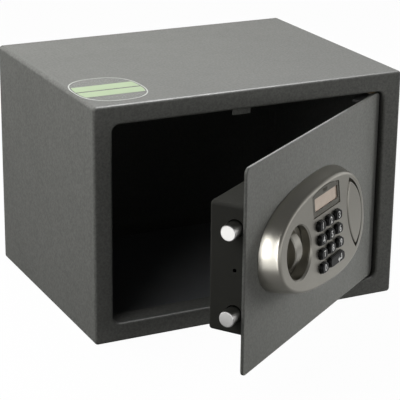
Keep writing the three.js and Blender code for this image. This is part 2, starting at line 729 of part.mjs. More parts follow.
function panScrew(seat, tip, at) {
  const side = Math.sign(seat - tip);
  const profile = [
    [0, tip],
    [SCREW_RADIUS, tip],
    [SCREW_RADIUS, seat],
    [SCREW_HEAD_RADIUS, seat],
    [SCREW_HEAD_RADIUS * 0.95, seat + side * SCREW_HEAD * 0.6],
    [SCREW_HEAD_RADIUS * 0.6, seat + side * SCREW_HEAD],
    [0, seat + side * SCREW_HEAD],
  ];
  return turned('y', profile, at, 12);
}

function addCase() {
  add(leaf, 'door_plate', doorPlate(), doorPaint);
  add(leaf, 'lock_case', lockCase(), darkPaint);
  STUD_PLACES.forEach((at, i) => {
    const seat = CASE_REAR + TOUCH;
    add(leaf, `case_screw_${i + 1}`, panScrew(seat, seat - SCREW_LENGTH, at), zincSteel);
  });
}

// Plain round bolts with a tail that is peened over the carriage's lug
function lockBolt(z) {
  const neckEnd = BOLT_TAIL + CARRIAGE + 2 * TOUCH;
  const profile = [
    [0, BOLT_TIP],
    [BOLT_RADIUS - BOLT_CHAMFER, BOLT_TIP],
    [BOLT_RADIUS - BOLT_CHAMFER * 0.3, BOLT_TIP + BOLT_CHAMFER * 0.3],
    [BOLT_RADIUS, BOLT_TIP + BOLT_CHAMFER],
    [BOLT_RADIUS, BOLT_TAIL],
    [BOLT_TAIL_RADIUS, BOLT_TAIL],
    [BOLT_TAIL_RADIUS, neckEnd],
    [BOLT_TAIL_RADIUS + 1.5, neckEnd],
    [BOLT_TAIL_RADIUS + 1.5, neckEnd + BOLT_PEEN],
    [0, neckEnd + BOLT_PEEN],
  ];
  return turned('x', profile, [BOLT_BACK, z]);
}

const CARRIAGE_LEFT = BOLT_TAIL + TOUCH;
const LOCK_AT = [KNOB_X + PLUNGER_OFFSET, KNOB_Z - PLUNGER_DROP];

// The carriage: a flat plate with a yoke slot, two lugs for the bolts and a step that the plunger blocks
function boltCarriage() {
  const [low, high] = [BOLT_HEIGHTS[0] - LUG_WIDTH, BOLT_HEIGHTS[1] + LUG_WIDTH];
  const [left, right] = [CARRIAGE_LEFT, CARRIAGE_LEFT + CARRIAGE_REACH];
  const arm = CARRIAGE_LEFT + CARRIAGE_ARM;
  const reach = PLUNGER_RADIUS + STEP_PLAY;
  const [stepX, stepHigh] = [LOCK_AT[0] - reach, LOCK_AT[1] + reach];
  const stepLow = LOCK_AT[1] - PLUNGER_RADIUS - STEP_LIP;
  const waistHigh = KNOB_Z + CRANK_ARM + CRANK_PIN_RADIUS + CARRIAGE_LIP;
  const plate = slabY(polygon([
    [left, low], [arm, low], [arm, stepLow], [stepX, stepLow], [stepX, stepHigh], [right, stepHigh],
    [right, waistHigh], [arm, waistHigh], [arm, high], [left, high],
  ]), CARRIAGE_FRONT, CARRIAGE_REAR);
  const lugEnd = BOLT_BACK + BOLT_RADIUS;
  const lugs = BOLT_HEIGHTS.map((z) =>
    box(left, left + CARRIAGE, CARRIAGE_FRONT, lugEnd, z - LUG_WIDTH, z + LUG_WIDTH));
  const eyes = BOLT_HEIGHTS.map((z) =>
    rod('x', BOLT_TAIL_RADIUS + TOUCH, left - 1, left + CARRIAGE + 1, [BOLT_BACK, z], 16));
  const slotLow = KNOB_Z + CRANK_ARM * Math.cos(THREE.MathUtils.degToRad(KNOB_TURN / 2));
  const slotHigh = KNOB_Z + CRANK_ARM;
  const slotWidth = 2 * (CRANK_PIN_RADIUS + YOKE_PLAY);
  const slotMiddle = (slotLow + slotHigh) / 2;
  const slotLength = slotHigh - slotLow + slotWidth;
  const slot = slabY(
    roundedRect(slotWidth, slotLength, slotWidth / 2.01, KNOB_X - BOLT_TRAVEL / 2, slotMiddle),
    CARRIAGE_FRONT - 1, CARRIAGE_REAR + 1);
  return cutSolids(joined(plate, ...lugs), ...[...eyes, slot].map(solidOf));
}

// A bracket that keeps both bolts level inside the case
function boltGuide() {
  const right = BOLT_TIP + BOLT_THROW + GUIDE_SETBACK - CASE_INSET;
  const left = right - GUIDE;
  const [low, high] = [BOLT_HEIGHTS[0] - LUG_WIDTH, BOLT_HEIGHTS[1] + LUG_WIDTH];
  const rear = BOLT_BACK + BOLT_RADIUS + GUIDE_COVER;
  const wall = slabX(
    roundedRect(rear - CASE_FRONT, high - low, GUIDE_COVER, (rear + CASE_FRONT) / 2, BOLT_MIDDLE),
    left, right);
  const foot = box(
    left - GUIDE_FOOT, right, CASE_FRONT, CASE_FRONT + GUIDE,
    BOLT_MIDDLE - GUIDE_FOOT_HALF, BOLT_MIDDLE + GUIDE_FOOT_HALF);
  const holes = BOLT_HEIGHTS.map((z) =>
    rod('x', BOLT_RADIUS + RUNNING, left - 1, right + 1, [BOLT_BACK, z]));
  return cutSolids(joined(wall, foot), ...holes.map(solidOf));
}

function addBoltWork() {
  add(leaf, 'bolt_guide', boltGuide(), zincSteel);
  add(leaf, 'bolt_carriage', boltCarriage(), zincSteel);
  add(leaf, 'bolt_lower', lockBolt(BOLT_HEIGHTS[0]), brightSteel);
  add(leaf, 'bolt_upper', lockBolt(BOLT_HEIGHTS[1]), brightSteel);
}

// How far the panel's face stands in front of the door at a given height
function faceDepth(z) {
  return PANEL_DEPTH + PANEL_LEAN * (PANEL_Z - z);
}

// From the face's own frame, where y = 0 is the face and -y points out, to the door's frame
const faceFrame = new THREE.Matrix4()
  .makeTranslation(PANEL_X, -PANEL_DEPTH, PANEL_Z)
  .multiply(new THREE.Matrix4().makeRotationX(-LEAN_ANGLE));

function onFace(geometry) {
  geometry.applyMatrix4(faceFrame);
  return geometry;
}

// The place in the face's frame of a point whose width and height on the door are given
function facePlace(x, z) {
  return [x - PANEL_X, (z - PANEL_Z) / Math.cos(LEAN_ANGLE)];
}

function panelLoop(inset, depthOf) {
  const loop = [];
  const [a, b] = [PANEL_HALF_WIDTH - inset, PANEL_HALF_HEIGHT - inset];
  for (let i = 0; i < PANEL_POINTS; i += 1) {
    const angle = (2 * Math.PI * i) / PANEL_POINTS;
    const [c, s] = [Math.cos(angle), Math.sin(angle)];
    const x = Math.sign(c) * Math.abs(c) ** (2 / PANEL_POWER);
    const z = Math.sign(s) * Math.abs(s) ** (2 / PANEL_POWER) * (1 + PANEL_EGG * x);
    const height = PANEL_Z + b * z;
    loop.push(new THREE.Vector3(PANEL_X + a * x, -depthOf(height), height));
  }
  return loop;
}

function panelOuter() {
  const loops = [panelLoop(0, () => TOUCH)];
  for (let i = 0; i <= 3; i += 1) {
    const angle = (Math.PI / 2) * (i / 3);
    const inset = PANEL_DRAFT + PANEL_FILLET * (1 - Math.cos(angle));
    loops.push(panelLoop(inset, (z) => faceDepth(z) - PANEL_FILLET * (1 - Math.sin(angle))));
  }
  return solidOf(skinned(loops, false));
}

function panelCavity() {
  const deep = PANEL_FACE + PANEL_FILLET / 2;
  return solidOf(skinned([
    panelLoop(PANEL_WALL, () => -1),
    panelLoop(PANEL_DRAFT + PANEL_WALL, (z) => faceDepth(z) - deep),
    panelLoop(PANEL_DRAFT + PANEL_WALL + PANEL_FILLET / 2, (z) => faceDepth(z) - PANEL_FACE),
  ], false));
}

function arcMiddle([x0, y0], [x1, y1], bulge) {
  const length = Math.hypot(x1 - x0, y1 - y0);
  return [(x0 + x1) / 2 - ((y1 - y0) / length) * bulge, (y0 + y1) / 2 + ((x1 - x0) / length) * bulge];
}

// Points along the arc between two ends that bulges to its left by a given amount
function arcPoints(start, end, bulge, steps) {
  const [mx, my] = arcMiddle(start, end, bulge);
  const half = Math.hypot(end[0] - start[0], end[1] - start[1]) / 2;
  const radius = (half * half + bulge * bulge) / (2 * Math.abs(bulge));
  const [cx, cy] = arcMiddle(start, end, bulge - Math.sign(bulge) * radius);
  const first = Math.atan2(start[1] - cy, start[0] - cx);
  let sweep = Math.atan2(end[1] - cy, end[0] - cx) - first;
  const mid = Math.atan2(my - cy, mx - cx) - first;
  const wrap = (angle) => ((angle % (2 * Math.PI)) + 2 * Math.PI) % (2 * Math.PI);
  sweep = wrap(sweep);
  if (wrap(mid) > sweep) sweep -= 2 * Math.PI;
  const points = [];
  for (let i = 0; i < steps; i += 1) {
    const angle = first + (sweep * i) / steps;
    points.push([cx + radius * Math.cos(angle), cy + radius * Math.sin(angle)]);
  }
  return points;
}

// The lens between two arcs, with its ends cut short where it is drawn in
function lensShape(inset) {
  const [tx, tz] = facePlace(PANEL_X + LENS_TOP[0], PANEL_Z + LENS_TOP[1]);
  const [bx, bz] = facePlace(PANEL_X + LENS_BOTTOM[0], PANEL_Z + LENS_BOTTOM[1]);
  const length = Math.hypot(tx - bx, tz - bz);
  const draw = (3 * inset) / length;
  const top = [tx + (bx - tx) * draw, tz + (bz - tz) * draw];
  const bottom = [bx + (tx - bx) * draw, bz + (tz - bz) * draw];
  const right = arcPoints(bottom, top, -(LENS_RIGHT - inset), 12);
  const left = arcPoints(top, bottom, -(LENS_LEFT - inset), 10);
  return polygon([...right, ...left]);
}

function displayShape(inset) {
  const [x, z] = facePlace(DISPLAY_X, DISPLAY_Z);
  const half = DISPLAY_WIDTH / 2 - inset;
  const low = z + DISPLAY_BOTTOM + inset;
  const shoulder = z + DISPLAY_SHOULDER - inset;
  const arch = arcPoints([x + half, shoulder], [x - half, shoulder], -DISPLAY_ARCH, 8);
  return polygon([[x - half, low], [x + half, low], ...arch, [x - half, shoulder]]);
}

function keyPlaces() {
  const places = [];
  for (let i = 0; i < 9; i += 1) {
    const [column, row] = [i % 3, Math.floor(i / 3)];
    const at = facePlace(KEY_X + (column - 1) * KEY_PITCH_X, KEY_TOP_Z - row * KEY_PITCH_Z);
    places.push({ name: `key_${i + 1}`, at, width: KEY_WIDTH });
  }
  const last = KEY_TOP_Z - 3 * KEY_PITCH_Z;
  places.push({ name: 'key_0', at: facePlace(KEY_X - KEY_PITCH_X, last), width: KEY_WIDTH });
  const wide = KEY_WIDTH + KEY_PITCH_X;
  places.push({ name: 'key_enter', at: facePlace(KEY_X + KEY_PITCH_X / 2, last), width: wide });
  return places;
}

const BOARD_FRONT = PANEL_FACE + TOUCH + KEY_FLANGE_THICK + KEY_TRAVEL + TOUCH + MEMBRANE + TOUCH;
const BOARD_LEFT = KEY_X - 1.5 * KEY_PITCH_X - BOARD_MARGIN;
const BOARD_RIGHT = KEY_X + 1.5 * KEY_PITCH_X + BOSS_MARGIN;
const BOARD_HIGH = DISPLAY_Z + GLASS_HEIGHT / 2 + GLASS_MARGIN;
const BOARD_LOW = KEY_TOP_Z - 3.5 * KEY_PITCH_Z - BOARD_MARGIN / 2;
const BOARD_BOSSES = [
  [BOARD_LEFT + BOSS_MARGIN + 1, BOARD_HIGH - BOSS_DROP],
  [BOARD_RIGHT - BOSS_RADIUS, BOARD_HIGH - BOSS_DROP],
];

// The moulded panel: shell, knob well, display window, key holes and cover recess
function panelHousing() {
  const outer = panelOuter();
  const wellTop = faceDepth(KNOB_Z - WELL_RADIUS) + 5;
  const knobAt = [KNOB_X, KNOB_Z];
  const floorBack = -WELL_FLOOR_FRONT + WELL_WALL;
  const [wellX, wellZ] = facePlace(KNOB_X, KNOB_Z);
  const bosses = PANEL_SCREWS.map((at) => rod('y', BOSS_RADIUS, -wellTop, -TOUCH, at, 16));
  const boardBosses = BOARD_BOSSES.map(([x, z]) =>
    onFace(rod('y', BOSS_RADIUS - 1, PANEL_FACE / 2, BOARD_FRONT - TOUCH, facePlace(x, z), 12)));
  const cup = onFace(slabY(lensShape(-PANEL_WALL), 0, LENS_RECESS + PANEL_WALL));
  const inside = [
    rod('y', WELL_RADIUS + WELL_WALL, -wellTop, floorBack, knobAt, 32),
    ...bosses,
    ...boardBosses,
    cup,
  ].map((geometry) => solidOf(geometry).intersect(outer));
  const shell = joinSolids(cutSolids(outer, panelCavity()), ...inside);
  const cone = turned('y', [
    [0, -2], [WELL_RADIUS + 2 * WELL_CHAMFER, -2], [WELL_RADIUS + WELL_CHAMFER, 0],
    [WELL_RADIUS - 1, WELL_CHAMFER + 1], [0, WELL_CHAMFER + 1],
  ], [wellX, wellZ], 32);
  const cuts = [
    rod('y', WELL_RADIUS, -wellTop, -WELL_FLOOR_FRONT, knobAt, 32),
    onFace(cone),
    rod('y', HUB_RADIUS + RUNNING, -WELL_FLOOR_FRONT - 1, 1, knobAt, 24),
    onFace(slabY(displayShape(0), -5, DISPLAY_RECESS)),
    onFace(slabY(glassShape(GLASS_MARGIN + TOUCH), 0, PANEL_FACE + 1)),
    onFace(slabY(lensShape(0), -5, LENS_RECESS)),
    rod('y', LOCK_BODY_RADIUS + TOUCH, -wellTop, 1, [LOCK_X, LOCK_Z], 24),
    ...PANEL_SCREWS.map((at) => rod('y', SCREW_RADIUS + TOUCH, -SCREW_LENGTH, 1, at, 12)),
    ...keyPlaces().map((key) => onFace(slabY(
      roundedRect(key.width + 2 * RUNNING, KEY_HEIGHT + 2 * RUNNING, KEY_CORNER, ...key.at),
      -5, PANEL_FACE + 1))),
  ];
  return cutSolids(shell, ...cuts.map(solidOf));
}

function glassShape(margin) {
  const [x, z] = facePlace(DISPLAY_X, DISPLAY_Z);
  return roundedRect(GLASS_WIDTH + 2 * margin, GLASS_HEIGHT + 2 * margin, GLASS_CORNER, x + GLASS_OFFSET, z);
}

function displaySurround() {
  const frame = onFace(slabY(displayShape(LENS_GAP), DISPLAY_SUNK, DISPLAY_RECESS - TOUCH));
  const window = onFace(slabY(glassShape(0), -1, DISPLAY_RECESS + 1));
  const [x, z] = facePlace(DISPLAY_X, DISPLAY_Z + DISPLAY_SHOULDER);
  const ribs = [];
  for (let i = 0; i < DISPLAY_RIBS; i += 1) {
    const at = x + (i - (DISPLAY_RIBS - 1) / 2) * RIB_PITCH;
    const height = GLASS_HEIGHT / 4;
    const rib = roundedRect(RIB_PITCH / 2, height, 0.3, at, z);
    ribs.push(onFace(slabY(rib, DISPLAY_SUNK - 0.4, DISPLAY_SUNK + 0.2, 0, 1)));
  }
  return cutSolids(joined(frame, ...ribs), solidOf(window));
}

function lcdGlass() {
  const depth = BOARD_FRONT - TOUCH - DISPLAY_RECESS;
  return onFace(slabY(glassShape(GLASS_MARGIN), DISPLAY_RECESS, DISPLAY_RECESS + Math.max(depth, GLASS)));
}

// A key: flange behind the face, a straight stem through its hole and a domed cap
function keyCap(width, at) {
  const back = PANEL_FACE + TOUCH + KEY_FLANGE_THICK;
  const levels = [
    [back, KEY_FLANGE],
    [PANEL_FACE + TOUCH, KEY_FLANGE],
    [PANEL_FACE + TOUCH, 0],
    [-KEY_RISE + KEY_DOME, 0],
    [-KEY_RISE + KEY_DOME * 0.4, -KEY_DOME * 0.3],
    [-KEY_RISE, -KEY_DOME * 1.1],
  ];
  const loops = levels.map(([y, grow]) =>
    roundedLoop(width / 2 + grow, KEY_HEIGHT / 2 + grow, Math.max(KEY_CORNER + grow, 1), 2)
      .map(([x, z]) => new THREE.Vector3(at[0] + x, y, at[1] + z)));
  return onFace(skinned(loops, false));
}

function addPanel() {
  add(leaf, 'panel_housing', panelHousing(), titanium);
  add(leaf, 'display_surround', displaySurround(), displayGrey);
  add(leaf, 'lcd_module', lcdGlass(), displayGlass);
  const membraneFront = BOARD_FRONT - TOUCH - MEMBRANE;
  const [left, low] = facePlace(BOARD_LEFT, BOARD_LOW);
  const [right, high] = facePlace(BOARD_RIGHT, BOARD_HIGH);
  const top = facePlace(0, KEY_TOP_Z + KEY_PITCH_Z / 2)[1];
  const membrane = roundedRect(right - left, top - low, 3, (left + right) / 2, (top + low) / 2);
  const skin = slabY(membrane, membraneFront, membraneFront + MEMBRANE);
  add(leaf, 'keypad_membrane', onFace(skin), siliconeGrey);
  const board = roundedRect(right - left, high - low, 2, (left + right) / 2, (high + low) / 2);
  add(leaf, 'panel_board', onFace(slabY(board, BOARD_FRONT, BOARD_FRONT + BOARD)), boardGreen);
  keyPlaces().forEach((key) => add(leaf, key.name, keyCap(key.width, key.at), keyBlack));
  PANEL_SCREWS.forEach((at, i) => {
    const seat = PLATE + TOUCH;
    add(leaf, `panel_screw_${i + 1}`, panScrew(seat, seat - SCREW_LENGTH, at), zincSteel);
  });
}

// The knob: a disc in the well with an arched thumb blade across it
function knobBody() {
  const at = [KNOB_X, KNOB_Z];
  const back = -WELL_FLOOR_FRONT - TOUCH;
  const front = back - KNOB_DISC;
  const disc = rod('y', WELL_RADIUS - RUNNING - TOUCH, front, back, at, 32, 0.6);
  const hub = rod('y', HUB_RADIUS, front + 1, -TOUCH, at, 24);
  const crest = -faceDepth(KNOB_Z);
  const centre = crest + BLADE_RADIUS;
  const root = back - TOUCH;
  const half = Math.acos((centre - front) / BLADE_RADIUS);
  const arch = [];
  for (let i = 0; i <= 12; i += 1) {
    const angle = Math.PI - half + (2 * half * i) / 12;
    arch.push([centre + BLADE_RADIUS * Math.cos(angle), KNOB_Z + BLADE_RADIUS * Math.sin(angle)]);
  }
  arch.push([root, arch[12][1]], [root, arch[0][1]]);
  const blade = slabX(polygon(arch), KNOB_X - BLADE_WIDTH / 2, KNOB_X + BLADE_WIDTH / 2, BLADE_EDGE);
  const bore = rod('y', SPINDLE_RADIUS + TOUCH, -WELL_FLOOR_FRONT + TOUCH, 1, at, 20);
  return cutSolids(joined(disc, hub, blade), solidOf(bore));
}

function crankPinPlace() {
  const angle = THREE.MathUtils.degToRad(KNOB_TURN / 2);
  return [KNOB_X - CRANK_ARM * Math.sin(angle), KNOB_Z + CRANK_ARM * Math.cos(angle)];
}

function knobCrank() {
  const at = [KNOB_X, KNOB_Z];
  const disc = rod('y', CRANK_DISC_RADIUS, CRANK_FRONT, CRANK_REAR, at, 32);
  const pin = rod('y', CRANK_PIN_RADIUS, CRANK_FRONT + 0.5, CARRIAGE_REAR + 1, crankPinPlace(), 20);
  const bore = rod('y', SPINDLE_RADIUS - SPINDLE_STEP + TOUCH, CRANK_FRONT - 1, CRANK_REAR + 1, at, 16);
  return cutSolids(joined(disc, pin), solidOf(bore));
}

function knobSpindle() {
  const shoulder = CRANK_FRONT - TOUCH;
  const profile = [
    [0, -WELL_FLOOR_FRONT + 2 * TOUCH],
    [SPINDLE_RADIUS, -WELL_FLOOR_FRONT + 2 * TOUCH],
    [SPINDLE_RADIUS, shoulder],
    [SPINDLE_RADIUS - SPINDLE_STEP, shoulder],
    [SPINDLE_RADIUS - SPINDLE_STEP, CRANK_REAR],
    [0, CRANK_REAR],
  ];
  return turned('y', profile, [KNOB_X, KNOB_Z], 20);
}

function addKnob() {
  add(leaf, 'knob', knobBody(), titanium);
  add(leaf, 'knob_spindle', knobSpindle(), zincSteel);
  add(leaf, 'knob_crank', knobCrank(), zincSteel);
}

const PLUNGER_TIP = CARRIAGE_REAR + PLUNGER_STANDOFF;
const FRAME_FRONT = PLUNGER_TIP + 1;
const FRAME_REAR = CASE_REAR - CASE_SHEET - TOUCH;

// The solenoid hangs on the case's rear wall; its plunger reaches through the carriage
function addSolenoid() {
  const [x, z] = LOCK_AT;
  const half = FRAME_SIZE / 2;
  const cheeks = [
    box(x - half, x + half, FRAME_FRONT, FRAME_FRONT + FRAME, z - half, z + half),
    box(x - half, x + half, FRAME_REAR - FRAME, FRAME_REAR, z - half, z + half),
    box(x - half, x + half, FRAME_FRONT, FRAME_REAR, z - half, z - half + FRAME),
  ];
  const hole = rod('y', PLUNGER_RADIUS + RUNNING, FRAME_FRONT - 1, FRAME_FRONT + FRAME + 1, LOCK_AT, 20);
  add(leaf, 'solenoid_frame', cutSolids(joined(...cheeks), solidOf(hole)), zincSteel);
  const [coilFront, coilRear] = [FRAME_FRONT + FRAME + TOUCH, FRAME_REAR - FRAME - TOUCH];
  const coil = ring('y', COIL_RADIUS - TOUCH, PLUNGER_RADIUS + RUNNING, coilFront, coilRear, LOCK_AT);
  add(leaf, 'solenoid_coil', coil, copper);
  const plunger = rod('y', PLUNGER_RADIUS, PLUNGER_TIP, coilRear - TOUCH, LOCK_AT, 20, 0.6);
  add(leaf, 'solenoid_plunger', plunger, brightSteel);
}

const LOCK_FRONT = -faceDepth(LOCK_Z) + LENS_RECESS - LOCK_RECESS;
const LOCK_REAR = LOCK_FRONT + LOCK_LENGTH;

// A small key lock under the cover, with a cam on its tail
function addOverrideLock() {
  const at = [LOCK_X, LOCK_Z];
  const barrel = ring('y', LOCK_BODY_RADIUS, PLUG_RADIUS + RUNNING, LOCK_FRONT, LOCK_REAR, at);
  add(leaf, 'override_lock_body', barrel, brightSteel);
  const [x, z] = at;
  const hexagon = polygon([0, 1, 2, 3, 4, 5].map((i) => {
    const angle = (Math.PI * i) / 3;
    const reach = NUT_ACROSS / 2 / Math.cos(Math.PI / 6);
    return [x + reach * Math.cos(angle), z + reach * Math.sin(angle)];
  }));
  hexagon.holes.push(circleHole(x, z, LOCK_BODY_RADIUS + TOUCH));
  add(leaf, 'override_nut', slabY(hexagon, PLATE + TOUCH, PLATE + TOUCH + NUT_THICK), zincSteel);
  const camFront = LOCK_REAR + TOUCH;
  const plug = joined(
    rod('y', PLUG_RADIUS, LOCK_FRONT + 0.5, camFront, at),
    rod('y', PLUG_RADIUS / 2, camFront - 1, camFront + CAM + 2 * TOUCH, at, 16),
  );
  const [slit, tall, deep] = KEYWAY;
  const keyway = box(
    x - slit / 2, x + slit / 2, LOCK_FRONT - 1, LOCK_FRONT + deep, z - tall / 2, z + tall / 2);
  add(leaf, 'override_plug', cutSolids(plug, solidOf(keyway)), brass);
  const cam = roundedRect(CAM_WIDTH, CAM_LENGTH, CAM_WIDTH / 2.01, x, z + CAM_LENGTH / 2 - CAM_WIDTH / 2);
  cam.holes.push(circleHole(x, z, PLUG_RADIUS / 2 + TOUCH));
  add(leaf, 'override_cam', slabY(cam, camFront + TOUCH, camFront + TOUCH + CAM), zincSteel);
  const lid = slabY(lensShape(LENS_GAP), -COVER_PROUD, COVER - COVER_PROUD, COVER_PROUD / 2);
  const [, lockZ] = facePlace(LOCK_X, LOCK_Z);
  const [lockX] = facePlace(LOCK_X, LOCK_Z);
  const legs = [-1, 1].map((side) =>
    box(lockX - COVER_LEG / 2, lockX + COVER_LEG / 2, COVER / 4, LENS_RECESS - TOUCH,
      lockZ + side * COVER_LEG_SPREAD - COVER / 2, lockZ + side * COVER_LEG_SPREAD + COVER / 2));
  const cover = joined(onFace(lid), ...legs.map(onFace));
  add(leaf, 'override_cover', cover, titanium);
}

// A tray for four cells behind a lid in the case's rear wall
function addPower() {
  const [left, right] = [BATTERY_X - BATTERY_WIDTH / 2, BATTERY_X + BATTERY_WIDTH / 2];
  const block = slabY(
    roundedRect(
      BATTERY_WIDTH + 2 * BATTERY_FLANGE, BATTERY_HEIGHT + 2 * BATTERY_FLANGE,
      BATTERY_CORNER, BATTERY_X, BATTERY_Z),
    BATTERY_FRONT, BATTERY_REAR);
  const bay = box(
    left + BATTERY_WALL / 2, right - BATTERY_WALL / 2, BATTERY_FRONT + BATTERY_WALL, BATTERY_REAR + 1,
    BATTERY_Z - BATTERY_HEIGHT / 2 + BATTERY_WALL, BATTERY_Z + BATTERY_HEIGHT / 2 - BATTERY_WALL);
  add(leaf, 'battery_box', cutSolids(solidOf(block), solidOf(bay)), blackPlastic);
  for (let i = 0; i < CELL_COUNT; i += 1) {
    const x = BATTERY_X + (i - (CELL_COUNT - 1) / 2) * CELL_PITCH;
    const up = i % 2 === 0 ? 1 : -1;
    const base = BATTERY_Z - (up * (CELL_LENGTH + CELL_NUB)) / 2;
    const profile = [
      [0, base], [CELL_RADIUS - 1, base],
      [CELL_RADIUS, base + up], [CELL_RADIUS, base + up * (CELL_LENGTH - 1)],
      [CELL_RADIUS - 1, base + up * CELL_LENGTH], [2.7, base + up * CELL_LENGTH],
      [2.7, base + up * (CELL_LENGTH + CELL_NUB)], [0, base + up * (CELL_LENGTH + CELL_NUB)],
    ];
    const y = BATTERY_FRONT + BATTERY_WALL + TOUCH + CELL_RADIUS;
    add(leaf, `battery_cell_${i + 1}`, turned('z', profile, [x, y], 12), cellJacket);
  }
  const lid = slabY(
    roundedRect(
      BATTERY_WIDTH - 2 * RUNNING, BATTERY_HEIGHT - 2 * RUNNING, BATTERY_CORNER, BATTERY_X, BATTERY_Z),
    CASE_REAR - LID + TOUCH, CASE_REAR + TOUCH, 0.4);
  const grip = slabY(
    roundedRect(
      ...LID_GRIP, LID_GRIP[1] / 2.2, BATTERY_X, BATTERY_Z + BATTERY_HEIGHT / 2 - LID_GRIP_INSET),
    CASE_REAR - LID / 2, CASE_REAR + 1);
  add(leaf, 'battery_lid', cutSolids(solidOf(lid), solidOf(grip)), darkPaint);
  const flangeRear = CASE_REAR - CASE_SHEET - TOUCH;
  const button = [
    [0, flangeRear - RESET_LENGTH], [RESET_RADIUS, flangeRear - RESET_LENGTH],
    [RESET_RADIUS, flangeRear - 1],
    [RESET_RADIUS + RESET_FLANGE, flangeRear - 1], [RESET_RADIUS + RESET_FLANGE, flangeRear],
    [RESET_RADIUS, flangeRear], [RESET_RADIUS, CASE_REAR + RESET_PROUD - 0.6],
    [RESET_RADIUS - 0.8, CASE_REAR + RESET_PROUD], [0, CASE_REAR + RESET_PROUD],
  ];
  add(leaf, 'reset_button', turned('y', button, [RESET_X, RESET_Z], 20), resetRed);
  const front = PLATE + CONTROL_STANDOFF;
  const board = roundedRect(CONTROL_WIDTH, CONTROL_HEIGHT, 2, CONTROL_X, CONTROL_Z);
  add(leaf, 'control_board', slabY(board, front, front + BOARD), boardGreen);
}

addCabinet();
addHinge();
addCase();
addBoltWork();
addPanel();
addKnob();
addSolenoid();
addOverrideLock();
addPower();

export default safe;
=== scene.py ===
# %% [markdown]
# # A small electronic safe with its door open
# The safe is a folded steel cabinet with a hinged door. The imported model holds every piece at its
# real size and place, so this lesson starts by loading it as a fixed frame. Each later cell then
# gives one piece its real surface: some pieces are modelled again with soft edges and curves, and
# others only get a finish. Nothing is moved, and all lengths below are in millimetres until MM
# turns them into Blender's metres.

# %% Load the frame
import json
import math

import bmesh
import bpy
from mathutils import Matrix, Vector


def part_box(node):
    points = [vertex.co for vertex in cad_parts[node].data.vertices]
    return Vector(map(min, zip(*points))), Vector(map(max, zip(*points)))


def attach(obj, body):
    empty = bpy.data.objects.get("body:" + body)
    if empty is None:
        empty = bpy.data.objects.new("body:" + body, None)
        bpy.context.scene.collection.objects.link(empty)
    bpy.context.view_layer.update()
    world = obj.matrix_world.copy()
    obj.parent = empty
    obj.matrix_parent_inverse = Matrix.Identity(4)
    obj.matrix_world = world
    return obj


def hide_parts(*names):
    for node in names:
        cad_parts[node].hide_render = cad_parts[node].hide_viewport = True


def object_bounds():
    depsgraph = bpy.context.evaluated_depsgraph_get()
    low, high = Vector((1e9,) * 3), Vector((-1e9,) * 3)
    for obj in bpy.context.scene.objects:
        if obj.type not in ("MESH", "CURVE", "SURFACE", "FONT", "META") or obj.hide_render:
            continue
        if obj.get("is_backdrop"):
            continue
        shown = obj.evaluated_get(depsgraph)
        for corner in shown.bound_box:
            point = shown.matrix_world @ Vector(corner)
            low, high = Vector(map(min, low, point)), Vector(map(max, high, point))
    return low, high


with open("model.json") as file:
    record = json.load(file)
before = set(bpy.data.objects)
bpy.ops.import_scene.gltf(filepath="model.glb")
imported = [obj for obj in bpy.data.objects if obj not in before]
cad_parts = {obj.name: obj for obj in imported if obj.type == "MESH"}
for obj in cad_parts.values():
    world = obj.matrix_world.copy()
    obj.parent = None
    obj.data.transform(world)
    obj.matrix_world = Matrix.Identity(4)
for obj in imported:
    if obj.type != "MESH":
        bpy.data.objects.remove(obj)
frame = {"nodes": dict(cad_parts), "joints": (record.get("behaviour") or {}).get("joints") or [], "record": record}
cad_box = [list(corner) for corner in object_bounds()]
MM = 0.001
UP = Vector((0, 0, 1))

# %% [markdown]
# ## The sizes that everything follows
# A maker keeps the driving sizes in one place. The cabinet's width, height and depth come from the
# packed cabinet itself, and the door's place comes from its hinge, which is a joint of the frame.
# The door pieces are modelled as if the door were shut, where every face is square to an axis, and
# one matrix then swings each of them to where the door stands.

# %% Driving sizes
cabinet_low, cabinet_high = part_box("cabinet_wrap")
WIDTH, DEPTH, HEIGHT = [round((high - low) / MM) for low, high in zip(cabinet_low, cabinet_high)]
FRONT, BACK, MID_Z = -DEPTH / 2, DEPTH / 2, HEIGHT / 2
SHEET = 2
RIM = 20
DOOR_GAP = 2
PLATE = 3
OPEN_ANGLE = 35
TOUCH = 0.3
hinge = next(joint for joint in frame["joints"] if joint["name"] == "door_hinge")
HINGE = Vector(hinge["pos_m"])
SWING = (Matrix.Translation(HINGE)
         @ Matrix.Rotation(math.radians(OPEN_ANGLE), 4, "Z")
         @ Matrix.Translation(-HINGE)
         @ Matrix.Translation((0, FRONT * MM, 0)))
print("cabinet", WIDTH, "x", DEPTH, "x", HEIGHT, "mm, hinge at", [round(c / MM, 1) for c in HINGE])

# %% [markdown]
# ## The camera
# The picture looks at the safe from the left and from above through a long lens, so the safe's
# edges stay nearly parallel. The camera's matrix is built from three angles: azimuth round the
# object, elevation above the floor, and a small roll. Its columns are the directions to the right,
# up and back, which is how Blender defines a camera's axes.

# %% Set up the camera
CAMERA_PLACE = (-739.5, -1512.2, 679.6)
CAMERA_AZIMUTH = -26.28
CAMERA_ELEVATION = 19.36
CAMERA_ROLL = 0.7
CAMERA_LENS = 144.9


def camera_matrix(place, azimuth, elevation, roll):
    """The camera's axes from its angles in degrees, with its place in metres"""
    a, e, r = map(math.radians, (azimuth, elevation, roll))
    back = Vector((math.sin(a) * math.cos(e), -math.cos(a) * math.cos(e), math.sin(e)))
    right = (-back).cross(UP).normalized()
    top = right.cross(-back)
    rolled_right = right * math.cos(r) + top * math.sin(r)
    rolled_top = top * math.cos(r) - right * math.sin(r)
    turn = Matrix((rolled_right, rolled_top, back)).transposed().to_4x4()
    return Matrix.Translation(place) @ turn


